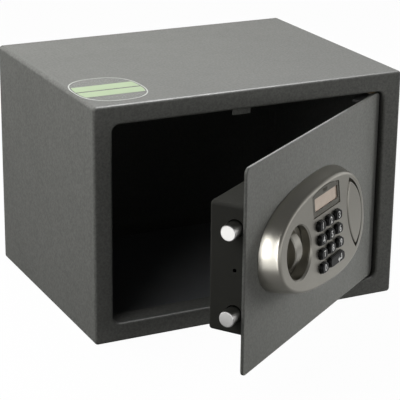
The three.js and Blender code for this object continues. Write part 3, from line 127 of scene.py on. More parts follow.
bpy.ops.object.camera_add()
camera = bpy.context.object
camera.name = "picture_camera"
camera.matrix_world = camera_matrix(
    Vector(CAMERA_PLACE) * MM, CAMERA_AZIMUTH, CAMERA_ELEVATION, CAMERA_ROLL)
camera.data.lens = CAMERA_LENS
camera.data.sensor_width = 36
scene = bpy.context.scene
scene.camera = camera
print("camera at", [round(c, 3) for c in camera.location])

# %% [markdown]
# ## Small tools for modelling
# Blender's operators act on whatever is selected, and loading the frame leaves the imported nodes
# selected. So the first tool makes one piece the only selected one. The others open a piece in
# edit mode with chosen faces or edges selected by a test on their place or direction, which is how
# a click is written in code, and bevel them.

# %% Selection tools
def only(piece):
    """Leaves one piece selected and active, in object mode"""
    if bpy.context.object and bpy.context.object.mode != "OBJECT":
        bpy.ops.object.mode_set(mode="OBJECT")
    bpy.ops.object.select_all(action="DESELECT")
    piece.select_set(True)
    bpy.context.view_layer.objects.active = piece


def pick(piece, kind, test):
    """Opens a piece in edit mode with the faces or edges that pass a test selected"""
    only(piece)
    bpy.ops.object.mode_set(mode="EDIT")
    bpy.ops.mesh.select_mode(type=kind)
    bpy.ops.mesh.select_all(action="DESELECT")
    mesh = bmesh.from_edit_mesh(piece.data)
    chosen = [part for part in (mesh.faces if kind == "FACE" else mesh.edges) if test(part)]
    for part in chosen:
        part.select_set(True)
    bmesh.update_edit_mesh(piece.data)
    return len(chosen)


def leave():
    bpy.ops.object.mode_set(mode="OBJECT")


def middle(part):
    """The middle of a face or edge, in millimetres"""
    return sum((v.co for v in part.verts), Vector()) / len(part.verts) / MM


def runs_along(edge, axis):
    direction = (edge.verts[1].co - edge.verts[0].co).normalized()
    return abs(direction["XYZ".index(axis)]) > 0.999


def round_edges(piece, test, radius, segments=4):
    """Bevels the edges that pass a test to a round of the given radius"""
    pick(piece, "EDGE", test)
    bpy.ops.mesh.bevel(offset=radius * MM, segments=segments, affect="EDGES", profile=0.5)
    leave()


def at(value, target, reach=0.05):
    return abs(value - target) < reach


def in_plane(axis, value):
    """A test for the edges in the plane across an axis at a value in millimetres"""
    index = "XYZ".index(axis)
    return lambda edge: all(at(v.co[index] / MM, value) for v in edge.verts)


# %% [markdown]
# ## Primitives and cuts
# Every piece starts as a primitive at its real size and place. A block or a rod is added and its
# size is applied at once, so that later bevels are even. Cutting and joining use the Boolean
# modifier, which is applied straight away, and the cutter is thrown out.

# %% Blocks, rods and cuts
def settle(piece, name):
    """Names a piece and applies its place to its mesh"""
    piece.name = name
    piece.data.name = name
    bpy.ops.object.transform_apply(location=True, rotation=True, scale=True)
    return piece


def block(name, low, high):
    """A box between two corners in millimetres"""
    low, high = Vector(low) * MM, Vector(high) * MM
    bpy.ops.mesh.primitive_cube_add(size=1, location=(low + high) / 2, scale=high - low)
    return settle(bpy.context.object, name)


AXIS_TURN = {"X": (0, math.pi / 2, 0), "Y": (math.pi / 2, 0, 0), "Z": (0, 0, 0)}


def rod(name, axis, radius, start, end, centre, sides=48):
    """A cylinder along an axis; centre gives its two other coordinates"""
    place = list(centre)
    place.insert("XYZ".index(axis), (start + end) / 2)
    bpy.ops.mesh.primitive_cylinder_add(
        vertices=sides, radius=radius * MM, depth=abs(end - start) * MM,
        location=Vector(place) * MM, rotation=AXIS_TURN[axis])
    return settle(bpy.context.object, name)


def modify(piece, kind, **settings):
    """Adds a modifier with its settings and applies it at once"""
    only(piece)
    change = piece.modifiers.new(kind.lower(), kind)
    for key, value in settings.items():
        setattr(change, key, value)
    bpy.ops.object.modifier_apply(modifier=change.name)
    return piece


def combine(piece, others, operation):
    for other in others:
        modify(piece, "BOOLEAN", operation=operation, solver="EXACT", object=other)
        bpy.data.objects.remove(other, do_unlink=True)
    return piece


def cut(piece, *cutters):
    return combine(piece, cutters, "DIFFERENCE")


def join(piece, *others):
    return combine(piece, others, "UNION")


def rounded_block(name, low, high, radius, axis="Y", segments=6):
    """A box whose edges along one axis are rounded"""
    piece = block(name, low, high)
    round_edges(piece, lambda edge: runs_along(edge, axis), radius, segments)
    return piece


# %% [markdown]
# ## Finishing a piece
# Boolean cuts leave knife-sharp rims, and no pressed or moulded piece has those. A narrow Bevel
# modifier breaks every sharp rim so that it catches light. Smooth shading by angle and weighted
# normals then keep the flat faces flat beside it. A piece is handed over by naming the body that
# it moves with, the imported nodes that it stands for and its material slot.

# %% Finishing tools
def break_edges(piece, width, angle=40, segments=2):
    return modify(piece, "BEVEL", width=width * MM, segments=segments, limit_method="ANGLE",
                  angle_limit=math.radians(angle), use_clamp_overlap=True)


def smooth(piece, angle=35):
    only(piece)
    bpy.ops.object.shade_smooth_by_angle(angle=math.radians(angle))
    return modify(piece, "WEIGHTED_NORMAL", keep_sharp=True)


def tidy(piece):
    """Merges doubles and turns every face outwards"""
    pick(piece, "FACE", lambda face: True)
    bpy.ops.mesh.remove_doubles(threshold=1e-6)
    bpy.ops.mesh.normals_make_consistent(inside=False)
    leave()
    return piece


def soften(piece, width, angle=40, segments=2, shade=35):
    """Cleans a piece's mesh, breaks its sharp edges and shades it"""
    tidy(piece)
    break_edges(piece, width, angle, segments)
    return smooth(piece, shade)


def move_by(piece, matrix):
    """Moves a piece by a matrix and applies its place to its mesh"""
    piece.matrix_world = matrix @ piece.matrix_world
    only(piece)
    bpy.ops.object.transform_apply(location=True, rotation=True, scale=True)
    return piece


def hand_over(piece, body, slot, *nodes):
    """Gives a finished piece its body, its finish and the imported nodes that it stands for"""
    piece.data.materials.clear()
    piece.data.materials.append(FINISHES[slot])
    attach(piece, body)
    if nodes:
        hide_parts(*nodes)
    faces = len(piece.data.polygons)
    size = [round(side / MM, 1) for side in piece.dimensions]
    print(f"{piece.name}: {faces} faces, {size} mm, rides on {body}")
    return piece


def hang(piece, body, slot, *nodes):
    """Swings a piece that was made on the shut door to where the door stands, and hands it over"""
    return hand_over(move_by(piece, SWING), body, slot, *nodes)


# %% [markdown]
# ## Effects that several finishes share
# A finish is made of a base colour and of what years and processes add to it. Those additions are
# node groups here: a group gives a value, a mask or a normal, and each material decides what to do
# with it. The wear group mixes a slow noise, as uneven handling does, with a fine one. The grain
# groups give the bumps of powder paint, of drawn metal and of a spark-eroded mould.

# %% Node group tools
def new_group(name, inputs, outputs):
    """A shader node group with its sockets; inputs are (name, default) pairs"""
    group = bpy.data.node_groups.new(name, "ShaderNodeTree")
    for label, default in inputs:
        socket = group.interface.new_socket(label, in_out="INPUT", socket_type="NodeSocketFloat")
        socket.default_value = default
    for label, kind in outputs:
        group.interface.new_socket(label, in_out="OUTPUT", socket_type=kind)
    start = group.nodes.new("NodeGroupInput")
    end = group.nodes.new("NodeGroupOutput")
    return group, start, end


def node(tree, kind, **settings):
    """A node whose settings and socket values are given by name"""
    made = tree.nodes.new(kind)
    for key, value in settings.items():
        if hasattr(made, key):
            setattr(made, key, value)
        else:
            made.inputs[key.replace("_", " ")].default_value = value
    return made


def noise(tree, where, scale, detail=3, roughness=0.5):
    """A noise texture read in the piece's own coordinates, in metres"""
    texture = node(tree, "ShaderNodeTexNoise", Scale=scale, Detail=detail, Roughness=roughness)
    tree.links.new(where, texture.inputs["Vector"])
    return texture.outputs["Fac"]


def maths(tree, operation, first, second=0, clamp=False):
    """A Math node; each side is a socket or a number"""
    made = tree.nodes.new("ShaderNodeMath")
    made.operation = operation
    made.use_clamp = clamp
    for socket, side in zip(made.inputs, (first, second)):
        if isinstance(side, (int, float)):
            socket.default_value = side
        else:
            tree.links.new(side, socket)
    return made.outputs[0]


def sums(tree):
    """The maths tool for one tree, so that longer sums stay readable"""
    return lambda *parts, **more: maths(tree, *parts, **more)


def axes_of(tree, where):
    """The sockets X, Y and Z of a vector"""
    made = node(tree, "ShaderNodeSeparateXYZ")
    tree.links.new(where, made.inputs["Vector"])
    return made.outputs


def ramp(tree, value, low, high, start=0, end=1):
    """Stretches a value between low and high to lie between start and end"""
    made = node(tree, "ShaderNodeMapRange", From_Min=low, From_Max=high, To_Min=start, To_Max=end)
    tree.links.new(value, made.inputs["Value"])
    return made.outputs["Result"]


# %% The wear and grain groups
def wear_group():
    group, _, end = new_group(
        "wear", [], [("Tone", "NodeSocketFloat"), ("Smudge", "NodeSocketFloat")])
    where = node(group, "ShaderNodeTexCoord").outputs["Object"]
    slow = noise(group, where, 14, detail=2)
    fine = noise(group, where, 160, detail=4)
    do = sums(group)
    tone = do("ADD", do("MULTIPLY", slow, 0.6), do("MULTIPLY", fine, 0.4))
    group.links.new(ramp(group, tone, 0.3, 0.7), end.inputs["Tone"])
    wiped = noise(group, where, 45, detail=5, roughness=0.65)
    group.links.new(ramp(group, wiped, 0.45, 0.75), end.inputs["Smudge"])
    return group


def grain_group(name, coarse, fine, share, stretch=(1, 1, 1)):
    """Bumps from a coarse noise and a fine one; stretch draws the grain out along an axis"""
    group, start, end = new_group(
        name, [("Strength", 0.2), ("Height", 0.0002)],
        [("Normal", "NodeSocketVector"), ("Fleck", "NodeSocketFloat")])
    place = node(group, "ShaderNodeTexCoord").outputs["Object"]
    spread = node(group, "ShaderNodeMapping", Scale=stretch)
    group.links.new(place, spread.inputs["Vector"])
    where = spread.outputs["Vector"]
    do = sums(group)
    large = do("MULTIPLY", noise(group, where, coarse, detail=2), 1 - share)
    small = do("MULTIPLY", noise(group, where, fine, detail=3), share)
    height = do("ADD", large, small)
    bump = node(group, "ShaderNodeBump")
    group.links.new(start.outputs["Strength"], bump.inputs["Strength"])
    group.links.new(start.outputs["Height"], bump.inputs["Distance"])
    group.links.new(height, bump.inputs["Height"])
    group.links.new(bump.outputs["Normal"], end.inputs["Normal"])
    group.links.new(ramp(group, height, 0.4, 0.6), end.inputs["Fleck"])
    return group


WEAR = wear_group()
POWDER = grain_group("powder_grain", 420, 1100, 0.35)
MOULDED = grain_group("moulded_grain", 2200, 5200, 0.5)
DRAWN = grain_group("drawn_grain", 700, 2600, 0.5, stretch=(0.06, 1, 1))
FIBRE = grain_group("felt_fibre", 900, 3000, 0.6)
print("groups:", [group.name for group in (WEAR, POWDER, MOULDED, DRAWN, FIBRE)])

# %% [markdown]
# ## One finish per slot
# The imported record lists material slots, such as the cabinet's paint or the bright steel of the
# bolts. Each gets one procedural material here. The colour varies a little with the wear group's
# tone, and the roughness with its smudges, because real paint and plastic never reflect evenly.

# %% Build the finishes
def finish(name, colour, roughness, grain, strength, height=0.2, metallic=0, tone=0.12, fleck=0.0,
           smudge=0.08, **more):
    """A Principled material; tone, fleck and smudge say how far colour and roughness vary"""
    made = bpy.data.materials.new(name)
    made.use_nodes = True
    tree = made.node_tree
    shader = tree.nodes["Principled BSDF"]
    wear = node(tree, "ShaderNodeGroup", node_tree=WEAR)
    bumps = node(tree, "ShaderNodeGroup", node_tree=grain)
    bumps.inputs["Strength"].default_value = strength
    bumps.inputs["Height"].default_value = height * MM
    do = sums(tree)
    lift = do("MULTIPLY", wear.outputs["Tone"], tone)
    specks = do("MULTIPLY", bumps.outputs["Fleck"], fleck)
    factor = do("ADD", do("ADD", lift, specks), 1 - (tone + fleck) / 2)
    tint = node(tree, "ShaderNodeVectorMath", operation="SCALE")
    tint.inputs[0].default_value = colour
    tree.links.new(factor, tint.inputs["Scale"])
    tree.links.new(tint.outputs["Vector"], shader.inputs["Base Color"])
    rough = do("ADD", do("MULTIPLY", wear.outputs["Smudge"], smudge), roughness)
    tree.links.new(rough, shader.inputs["Roughness"])
    tree.links.new(bumps.outputs["Normal"], shader.inputs["Normal"])
    shader.inputs["Metallic"].default_value = metallic
    for key, value in more.items():
        shader.inputs[key.replace("_", " ")].default_value = value
    return made


FINISHES = {
    "cabinet_paint": finish("charcoal_powder_coat", (0.165, 0.167, 0.155), 0.5, POWDER, 0.55,
                            height=0.35, tone=0.1, fleck=0.3, Specular_IOR_Level=0.25),
    "door_paint": finish("door_powder_coat", (0.165, 0.167, 0.155), 0.5, POWDER, 0.5,
                         height=0.3, tone=0.1, fleck=0.25, Specular_IOR_Level=0.25),
    "case_paint": finish("black_case_paint", (0.032, 0.032, 0.028), 0.5, POWDER, 0.4, height=0.2,
                         Specular_IOR_Level=0.15),
    "mat_felt": finish("blue_grey_felt", (0.08, 0.092, 0.105), 0.95, FIBRE, 0.8, height=0.5,
                       fleck=0.4, Sheen_Weight=0.5, Sheen_Roughness=0.6),
    "bright_steel": finish("turned_steel", (0.62, 0.615, 0.6), 0.28, DRAWN, 0.12, metallic=1,
                           tone=0.06),
    "zinc_steel": finish("black_zinc_plate", (0.1, 0.1, 0.1), 0.42, DRAWN, 0.2, metallic=1,
                         fleck=0.1),
    "brass": finish("oiled_bronze", (0.12, 0.09, 0.05), 0.45, DRAWN, 0.15, metallic=1),
    "panel_shell": finish("titanium_lacquer", (0.43, 0.415, 0.37), 0.32, MOULDED, 0.04,
                          height=0.05, metallic=1, tone=0.05, fleck=0.08),
    "display_frame": finish("display_frame_plastic", (0.12, 0.114, 0.094), 0.45, MOULDED, 0.25,
                            height=0.08),
    "display_window": finish("display_film", (0.78, 0.64, 0.52), 0.16, MOULDED, 0.03,
                             height=0.02, tone=0.2, Coat_Weight=0.6, Coat_Roughness=0.06),
    "key_plastic": finish("key_plastic_black", (0.006, 0.006, 0.006), 0.18, MOULDED, 0.08,
                          height=0.04, smudge=0.1, Specular_IOR_Level=0.25),
    "membrane_rubber": finish("grey_silicone", (0.12, 0.12, 0.12), 0.6, MOULDED, 0.2),
    "circuit_board": finish("solder_mask_green", (0.01, 0.09, 0.035), 0.35, MOULDED, 0.2),
    "coil_wire": finish("enamelled_copper", (0.45, 0.16, 0.06), 0.3, DRAWN, 0.6, metallic=0.8),
    "black_plastic": finish("black_nylon", (0.02, 0.02, 0.021), 0.45, MOULDED, 0.3, height=0.1),
    "cell_jacket": finish("cell_wrap_blue", (0.03, 0.07, 0.2), 0.25, MOULDED, 0.1),
    "reset_plastic": finish("red_button_plastic", (0.45, 0.02, 0.015), 0.35, MOULDED, 0.15),
    "white_print": finish("white_print_ink", (0.8, 0.8, 0.78), 0.45, MOULDED, 0.15, tone=0.05),
    "label_film": finish("pale_label_film", (0.5, 0.53, 0.47), 0.3, MOULDED, 0.05, tone=0.1),
}
for entry in frame["record"]["subparts"]:
    part = frame["nodes"][entry["node"]]
    part.data.materials.clear()
    part.data.materials.append(FINISHES[entry["material_slot"]])
bare = [name for name, part in frame["nodes"].items() if not part.data.materials]
print(len(FINISHES), "finishes; nodes without one:", bare)

# %% [markdown]
# ## The folded cabinet
# A real cabinet is one steel sheet wrapped round four sides, with the front folded in as a narrow
# rim and back again as a flange that stiffens the doorway. The model starts as one solid block with
# rounded long edges and a rounded front. A second block cuts out the inside, and a third one with
# rounded corners cuts the doorway through, so every wall keeps the sheet's own thickness.

# %% Fold the cabinet
EDGE_RADIUS, FRONT_BEND, RETURN_DEPTH = 4, 3, 26
DOORWAY_RADIUS, DOORWAY_BEND = 8, 2.5
DOORWAY_X, DOORWAY_LOW, DOORWAY_HIGH = WIDTH / 2 - RIM, RIM, HEIGHT - RIM
cabinet = block("cabinet_shell", (-WIDTH / 2, FRONT, 0), (WIDTH / 2, BACK, HEIGHT))
round_edges(cabinet, lambda edge: runs_along(edge, "Y"), EDGE_RADIUS, 6)
round_edges(cabinet, in_plane("Y", FRONT), FRONT_BEND, 5)
inside = rounded_block("inside", (-WIDTH / 2 + SHEET, FRONT + SHEET, SHEET),
                       (WIDTH / 2 - SHEET, BACK + 1, HEIGHT - SHEET), EDGE_RADIUS - SHEET)
cut(cabinet, inside)
flange = rounded_block(
    "flange", (-DOORWAY_X - SHEET, FRONT + SHEET / 2, DOORWAY_LOW - SHEET),
    (DOORWAY_X + SHEET, FRONT + RETURN_DEPTH, DOORWAY_HIGH + SHEET), DOORWAY_RADIUS + SHEET)
join(cabinet, flange)
doorway = rounded_block(
    "doorway", (-DOORWAY_X, FRONT - 1, DOORWAY_LOW),
    (DOORWAY_X, FRONT + RETURN_DEPTH + 1, DOORWAY_HIGH), DOORWAY_RADIUS, segments=8)
cut(cabinet, doorway)
print("walls cut, faces:", len(cabinet.data.polygons))

# %% [markdown]
# The doorway's front edge is the outside of a bend, so it is round rather than sharp. The edges of
# that mouth are picked by their place: they lie in the front plane and inside the rim. Two holes in
# the left return let the bolts through, two in the floor take anchors, and two more carry the
# hinge's bushes.

# %% Round the mouth and drill the holes
BOLT_HEIGHTS, BOLT_BACK, BOLT_RADIUS, BOLT_PORT = (82.5, 167.5), 13, 8, 1.8
ANCHOR_SPACING, ANCHOR_HOLE, BUSH_HOLE = 160, 10, 4.9
HINGE_X = HINGE.x / MM
HINGE_Y = HINGE.y / MM


def on_mouth(edge):
    spot = middle(edge)
    return (in_plane("Y", FRONT)(edge)
            and abs(spot.x) < DOORWAY_X + 0.1 and DOORWAY_LOW - 0.1 < spot.z < DOORWAY_HIGH + 0.1)


tidy(cabinet)
round_edges(cabinet, on_mouth, DOORWAY_BEND, 4)
PORT_REACH = BOLT_RADIUS + BOLT_PORT
for height in BOLT_HEIGHTS:
    cut(cabinet, rounded_block(
        "port", (-DOORWAY_X - 2 * SHEET, FRONT + BOLT_BACK - PORT_REACH, height - PORT_REACH),
        (-DOORWAY_X + SHEET, FRONT + BOLT_BACK + PORT_REACH, height + PORT_REACH), 1.5, axis="X"))
for side in (-1, 1):
    cut(cabinet, rod("anchor", "Z", ANCHOR_HOLE / 2, -1, 2 * SHEET, (side * ANCHOR_SPACING / 2, 0)))
for height in (DOORWAY_LOW - SHEET / 2, DOORWAY_HIGH + SHEET / 2):
    cut(cabinet, rod("bearing", "Z", BUSH_HOLE, height - SHEET, height + SHEET, (HINGE_X, HINGE_Y)))
soften(cabinet, 0.3)
hand_over(cabinet, "cabinet", "cabinet_paint", "cabinet_wrap")

# %% [markdown]
# ## The door sheet
# The door is a flat plate with round corners, and its front edge is eased so that the paint stays
# on it. Four threaded studs are welded to its back for the lock case, and two short posts carry a
# circuit board. Each is a rod here, joined to the plate before the spindle, the lock, the panel's
# screws and a cable get their holes.

# %% The door sheet
PLATE_CORNER, PLATE_EDGE, HINGE_INSET = 6, 1.2, 9
DOOR_LEFT, DOOR_RIGHT = -DOORWAY_X + DOOR_GAP, HINGE_X + HINGE_INSET
DOOR_LOW, DOOR_HIGH = DOORWAY_LOW + DOOR_GAP, DOORWAY_HIGH - DOOR_GAP
CASE_LEFT, CASE_RIGHT = DOOR_LEFT + 4, DOOR_LEFT + 258
CASE_LOW, CASE_HIGH = MID_Z - 63.5, MID_Z + 65.5
CASE_FRONT, CASE_SHEET = PLATE + TOUCH, 1.5
CASE_REAR = CASE_FRONT + 36.5
STUD_RADIUS, STUD_END = 3.5, CASE_REAR - CASE_SHEET - TOUCH
STUDS = [(x, z) for x in (CASE_LEFT + 12.5, CASE_RIGHT - 9.5)
         for z in (CASE_LOW + 6, CASE_HIGH - 6)]
THREAD, SCREW_LENGTH = 2.3, 10
KNOB_X, KNOB_Z = CASE_LEFT + 67, MID_Z + 3
PANEL_X, PANEL_Z = KNOB_X + 55.8, KNOB_Z + 0.8
LOCK_X, LOCK_Z = PANEL_X + 74.2, PANEL_Z + 1.2
PANEL_SCREWS = [(PANEL_X - 35.8, PANEL_Z + 39.2), (PANEL_X + 50.2, PANEL_Z - 40.8)]
SPINDLE_HOLE, LOCK_HOLE = 3.4, 9.3
POST_X, POST_Z, POST_SPREAD, POST_LENGTH = PANEL_X + 4.2, MID_Z - 33, 19, 5.7
CABLE_LOW, CABLE_HIGH = (PANEL_X + 0.7, PANEL_Z + 15.2), (PANEL_X + 18.7, PANEL_Z + 23.2)

door = rounded_block("door_sheet", (DOOR_LEFT, 0, DOOR_LOW), (DOOR_RIGHT, PLATE, DOOR_HIGH),
                     PLATE_CORNER)
round_edges(door, in_plane("Y", 0), PLATE_EDGE, 3)
for place in STUDS:
    join(door, rod("stud", "Y", STUD_RADIUS, PLATE / 2, STUD_END, place, 24))
    cut(door, rod("thread", "Y", THREAD, STUD_END - SCREW_LENGTH, STUD_END + 1, place, 24))
for side in (-POST_SPREAD, POST_SPREAD):
    join(door, rod("post", "Y", STUD_RADIUS, PLATE / 2, PLATE + POST_LENGTH,
                   (POST_X + side, POST_Z), 24))
for radius, place in ((SPINDLE_HOLE, (KNOB_X, KNOB_Z)), (LOCK_HOLE, (LOCK_X, LOCK_Z)),
                      (THREAD, PANEL_SCREWS[0]), (THREAD, PANEL_SCREWS[1])):
    cut(door, rod("hole", "Y", radius, -1, PLATE + 1, place))
cut(door, rounded_block("cable_slot", (CABLE_LOW[0], -1, CABLE_LOW[1]),
                        (CABLE_HIGH[0], PLATE + 1, CABLE_HIGH[1]), 3.9))
soften(door, 0.2)
hang(door, "door", "door_paint", "door_plate")

# %% [markdown]
# ## The lock case
# Behind the door sheet a folded case hides the bolt work. It is a tray of thin sheet: a block with
# round corners whose open side faces the door. The face on that side is deleted and the Solidify
# modifier grows the sheet inwards, so the outside keeps its size. The bolts' ports, the battery
# window, the reset hole and the screw holes are cut through the sheet after that.

# %% The lock case
BATTERY_X, BATTERY_Z, BATTERY_WIDTH, BATTERY_HEIGHT = CASE_RIGHT - 43, MID_Z + 1, 62.8, 59.3
RESET_X, RESET_Z, RESET_RADIUS = BATTERY_X - 50, CASE_HIGH - 22.5, 3.2

case = rounded_block("lock_case_tray", (CASE_LEFT, CASE_FRONT, CASE_LOW),
                     (CASE_RIGHT, CASE_REAR, CASE_HIGH), 4)
round_edges(case, in_plane("Y", CASE_REAR), 3, 5)
pick(case, "FACE", lambda face: at(middle(face).y, CASE_FRONT))
bpy.ops.mesh.delete(type="FACE")
leave()
modify(case, "SOLIDIFY", thickness=CASE_SHEET * MM, offset=-1, use_even_offset=True)
for height in BOLT_HEIGHTS:
    cut(case, rod("port", "X", BOLT_RADIUS + BOLT_PORT / 2, CASE_LEFT - 1, CASE_LEFT + 3,
                  (BOLT_BACK, height)))
cut(case, rod("keeper_hole", "X", 2, CASE_LEFT - 1, CASE_LEFT + 3, (BOLT_BACK, MID_Z + 1), 24))
cut(case, rounded_block(
    "window", (BATTERY_X - BATTERY_WIDTH / 2, CASE_REAR - 4, BATTERY_Z - BATTERY_HEIGHT / 2),
    (BATTERY_X + BATTERY_WIDTH / 2, CASE_REAR + 1, BATTERY_Z + BATTERY_HEIGHT / 2), 2))
cut(case, rod("reset_hole", "Y", RESET_RADIUS + 0.4, CASE_REAR - 4, CASE_REAR + 1,
              (RESET_X, RESET_Z)))
for place in STUDS:
    cut(case, rod("screw_hole", "Y", THREAD, CASE_REAR - 4, CASE_REAR + 1, place, 24))
soften(case, 0.25)
hang(case, "door", "case_paint", "lock_case")

# %% [markdown]
# ## The bolts
# Each bolt is a turned steel bar with an eased tip. Its tail is turned down and its end is peened
# over, so that it holds in the carriage. The bar is a cylinder: the edges of one end are bevelled,
# and the other end's face is inset and extruded. The second bolt is a copy with its own mesh.

# %% The bolts
BOLT_TIP, BOLT_TAIL = CASE_LEFT - 15, CASE_LEFT + 49
TAIL_RADIUS, PEEN_RADIUS, TAIL_LENGTH, PEEN = 3.5, 5, 3.1, 2


def push(x=0, y=0, z=0):
    """Extrudes what is selected and moves it, in millimetres"""
    bpy.ops.mesh.extrude_region_move(
        TRANSFORM_OT_translate={"value": (x * MM, y * MM, z * MM)})


lower_bolt = rod("bolt_bar_lower", "X", BOLT_RADIUS, BOLT_TIP, BOLT_TAIL,
                 (BOLT_BACK, BOLT_HEIGHTS[0]), 64)
round_edges(lower_bolt, in_plane("X", BOLT_TIP), 1.2, 3)
pick(lower_bolt, "FACE", lambda face: at(middle(face).x, BOLT_TAIL))
bpy.ops.mesh.inset(thickness=(BOLT_RADIUS - TAIL_RADIUS) * MM)
push(x=TAIL_LENGTH)
bpy.ops.mesh.inset(thickness=(PEEN_RADIUS - TAIL_RADIUS) * MM, use_outset=True)
push(x=PEEN)
leave()


def own_copy(piece, name, shift):
    """A second piece with its own mesh, moved in millimetres"""
    other = piece.copy()
    other.data = piece.data.copy()
    bpy.context.collection.objects.link(other)
    other.matrix_world = Matrix.Translation(Vector(shift) * MM) @ piece.matrix_world
    only(other)
    return settle(other, name)


upper_bolt = own_copy(lower_bolt, "bolt_bar_upper", (0, 0, BOLT_HEIGHTS[1] - BOLT_HEIGHTS[0]))
for bar, packed in ((lower_bolt, "bolt_lower"), (upper_bolt, "bolt_upper")):
    soften(bar, 0.2)
    hang(bar, "bolt_work", "bright_steel", packed)

# %% [markdown]
# ## Slabs with a drawn outline
# The panel's openings are arcs and lenses, so they start from an outline instead of a box. Blender
# adds a filled circle with as many corners as the outline has, the corners go to the outline's
# points, and one extrude gives the slab its thickness. The panel leans back, so its openings are
# drawn on its own face and one matrix then lays them there.

# %% Slabs and the leaning face
PANEL_DEPTH, PANEL_LEAN = 21.4, 0.11
LEAN_ANGLE = math.atan(PANEL_LEAN)
ON_FACE = (Matrix.Translation(Vector((PANEL_X, -PANEL_DEPTH, PANEL_Z)) * MM)
           @ Matrix.Rotation(-LEAN_ANGLE, 4, "X"))


def filled_outline(name, outline, y):
    """A flat filled face through points (x, z) at a depth y"""
    bpy.ops.mesh.primitive_circle_add(
        vertices=len(outline), radius=MM, fill_type="NGON", rotation=(math.pi / 2, 0, 0))
    piece = settle(bpy.context.object, name)
    for vertex, (x, z) in zip(piece.data.vertices, outline):
        vertex.co = Vector((x, y, z)) * MM
    return piece


def slab(name, outline, start, end):
    piece = filled_outline(name, outline, start)
    pick(piece, "FACE", lambda face: True)
    push(y=end - start)
    leave()
    return tidy(piece)


def lay_on_face(piece):
    """Moves a piece from the panel face's own frame to the shut door's frame"""
    return move_by(piece, ON_FACE)


def face_place(x, z):
    """A point of the door in the face's own frame"""
    return x - PANEL_X, (z - PANEL_Z) / math.cos(LEAN_ANGLE)


def rounded_circle(power, steps):
    """Points from -1 to 1 on a circle that a power above 2 blows out towards a square"""
    angles = [2 * math.pi * step / steps for step in range(steps)]
    return [[math.copysign(abs(part) ** (2 / power), part)
             for part in (math.cos(angle), math.sin(angle))] for angle in angles]


def arc(start, end, bulge, steps):
    """Points on the arc that bulges to the right of the line from start to end"""
    start, end = Vector(start), Vector(end)
    chord = end - start
    side = Vector((chord.y, -chord.x)).normalized()
    radius = (chord.length ** 2 / 4 + bulge ** 2) / (2 * bulge)
    centre = (start + end) / 2 + side * (bulge - radius)
    half = math.asin(chord.length / 2 / radius)
    along = chord.normalized()
    angles = [-half + 2 * half * step / steps for step in range(steps)]
    return [tuple(centre + radius * (math.cos(angle) * side + math.sin(angle) * along))
            for angle in angles]


LENS_TOP, LENS_BOTTOM = (PANEL_X + 64.9, PANEL_Z + 39.3), (PANEL_X + 70.5, PANEL_Z - 35.3)
LENS_BULGE_RIGHT, LENS_BULGE_LEFT = 22.5, 12.4
DISPLAY_X, DISPLAY_Z, DISPLAY_ARCH = PANEL_X + 9.7, PANEL_Z + 33.2, 4.6
DISPLAY_HALF, DISPLAY_BELOW, DISPLAY_ABOVE = 31, 12, 10


def lens_outline(inset, steps=20):
    """The cover's lens; its points draw in three times as far as its sides"""
    top, bottom = Vector(face_place(*LENS_TOP)), Vector(face_place(*LENS_BOTTOM))
    along = (bottom - top).normalized() * 3 * inset
    top, bottom = top + along, bottom - along
    return (arc(bottom, top, LENS_BULGE_RIGHT - inset, steps)
            + arc(top, bottom, LENS_BULGE_LEFT - inset, steps))


def display_outline(inset):
    x, z = face_place(DISPLAY_X, DISPLAY_Z)
    half, low, shoulder = DISPLAY_HALF - inset, z - DISPLAY_BELOW + inset, z + DISPLAY_ABOVE - inset
    arch = arc((x + half, shoulder), (x - half, shoulder), DISPLAY_ARCH, 16)
    return [(x - half, low), (x + half, low)] + arch + [(x - half, shoulder)]


print("lens points:", len(lens_outline(0)), "display points:", len(display_outline(0)))

# %% [markdown]
# ## The moulded panel
# The panel is a thin plastic shell. Its plan is an oval between an ellipse and a rectangle,
# slightly egg-shaped, its wall draws in towards the front so that it leaves the mould, and a soft
# round leads into a face that leans back. One oval is extruded ring by ring and each ring is drawn
# in about the centre. The rings tilt more and more towards the face, so their depth is set by a
# rule on each point. The same rings, smaller, make the hollow that is cut out from behind.

# %% The panel's shell
HALF_WIDTH, HALF_HEIGHT, POWER, EGG = 101.5, 54.5, 2.5, 0.12
DRAFT, FILLET, WALL, FACE_THICKNESS = 4, 4, 2.5, 3
WALL_STEPS, FILLET_STEPS = 5, 8
WELL_RADIUS, WELL_FLOOR, WELL_WALL = 26, 8, 2
HUB_RADIUS, HUB_HOLE, BORE_RADIUS, DISC_GAP = 6.5, 6.9, 3.3, 0.7
LENS_RECESS, DISPLAY_RECESS = 7, 1.8
KEY_X, KEY_TOP, PITCH_X, PITCH_Z = PANEL_X + 10, PANEL_Z + 11.6, 19, 14.2
KEY_WIDTH, KEY_HEIGHT, KEY_CORNER, RUNNING = 14.4, 10.4, 4.4, 0.4


def face_depth(z):
    return PANEL_DEPTH + PANEL_LEAN * (PANEL_Z - z)


def oval(inset):
    """The panel's plan, drawn in by an inset"""
    return [(PANEL_X + (HALF_WIDTH - inset) * across,
             PANEL_Z + (HALF_HEIGHT - inset) * (up * (1 + EGG * across)))
            for across, up in rounded_circle(POWER, 168)]


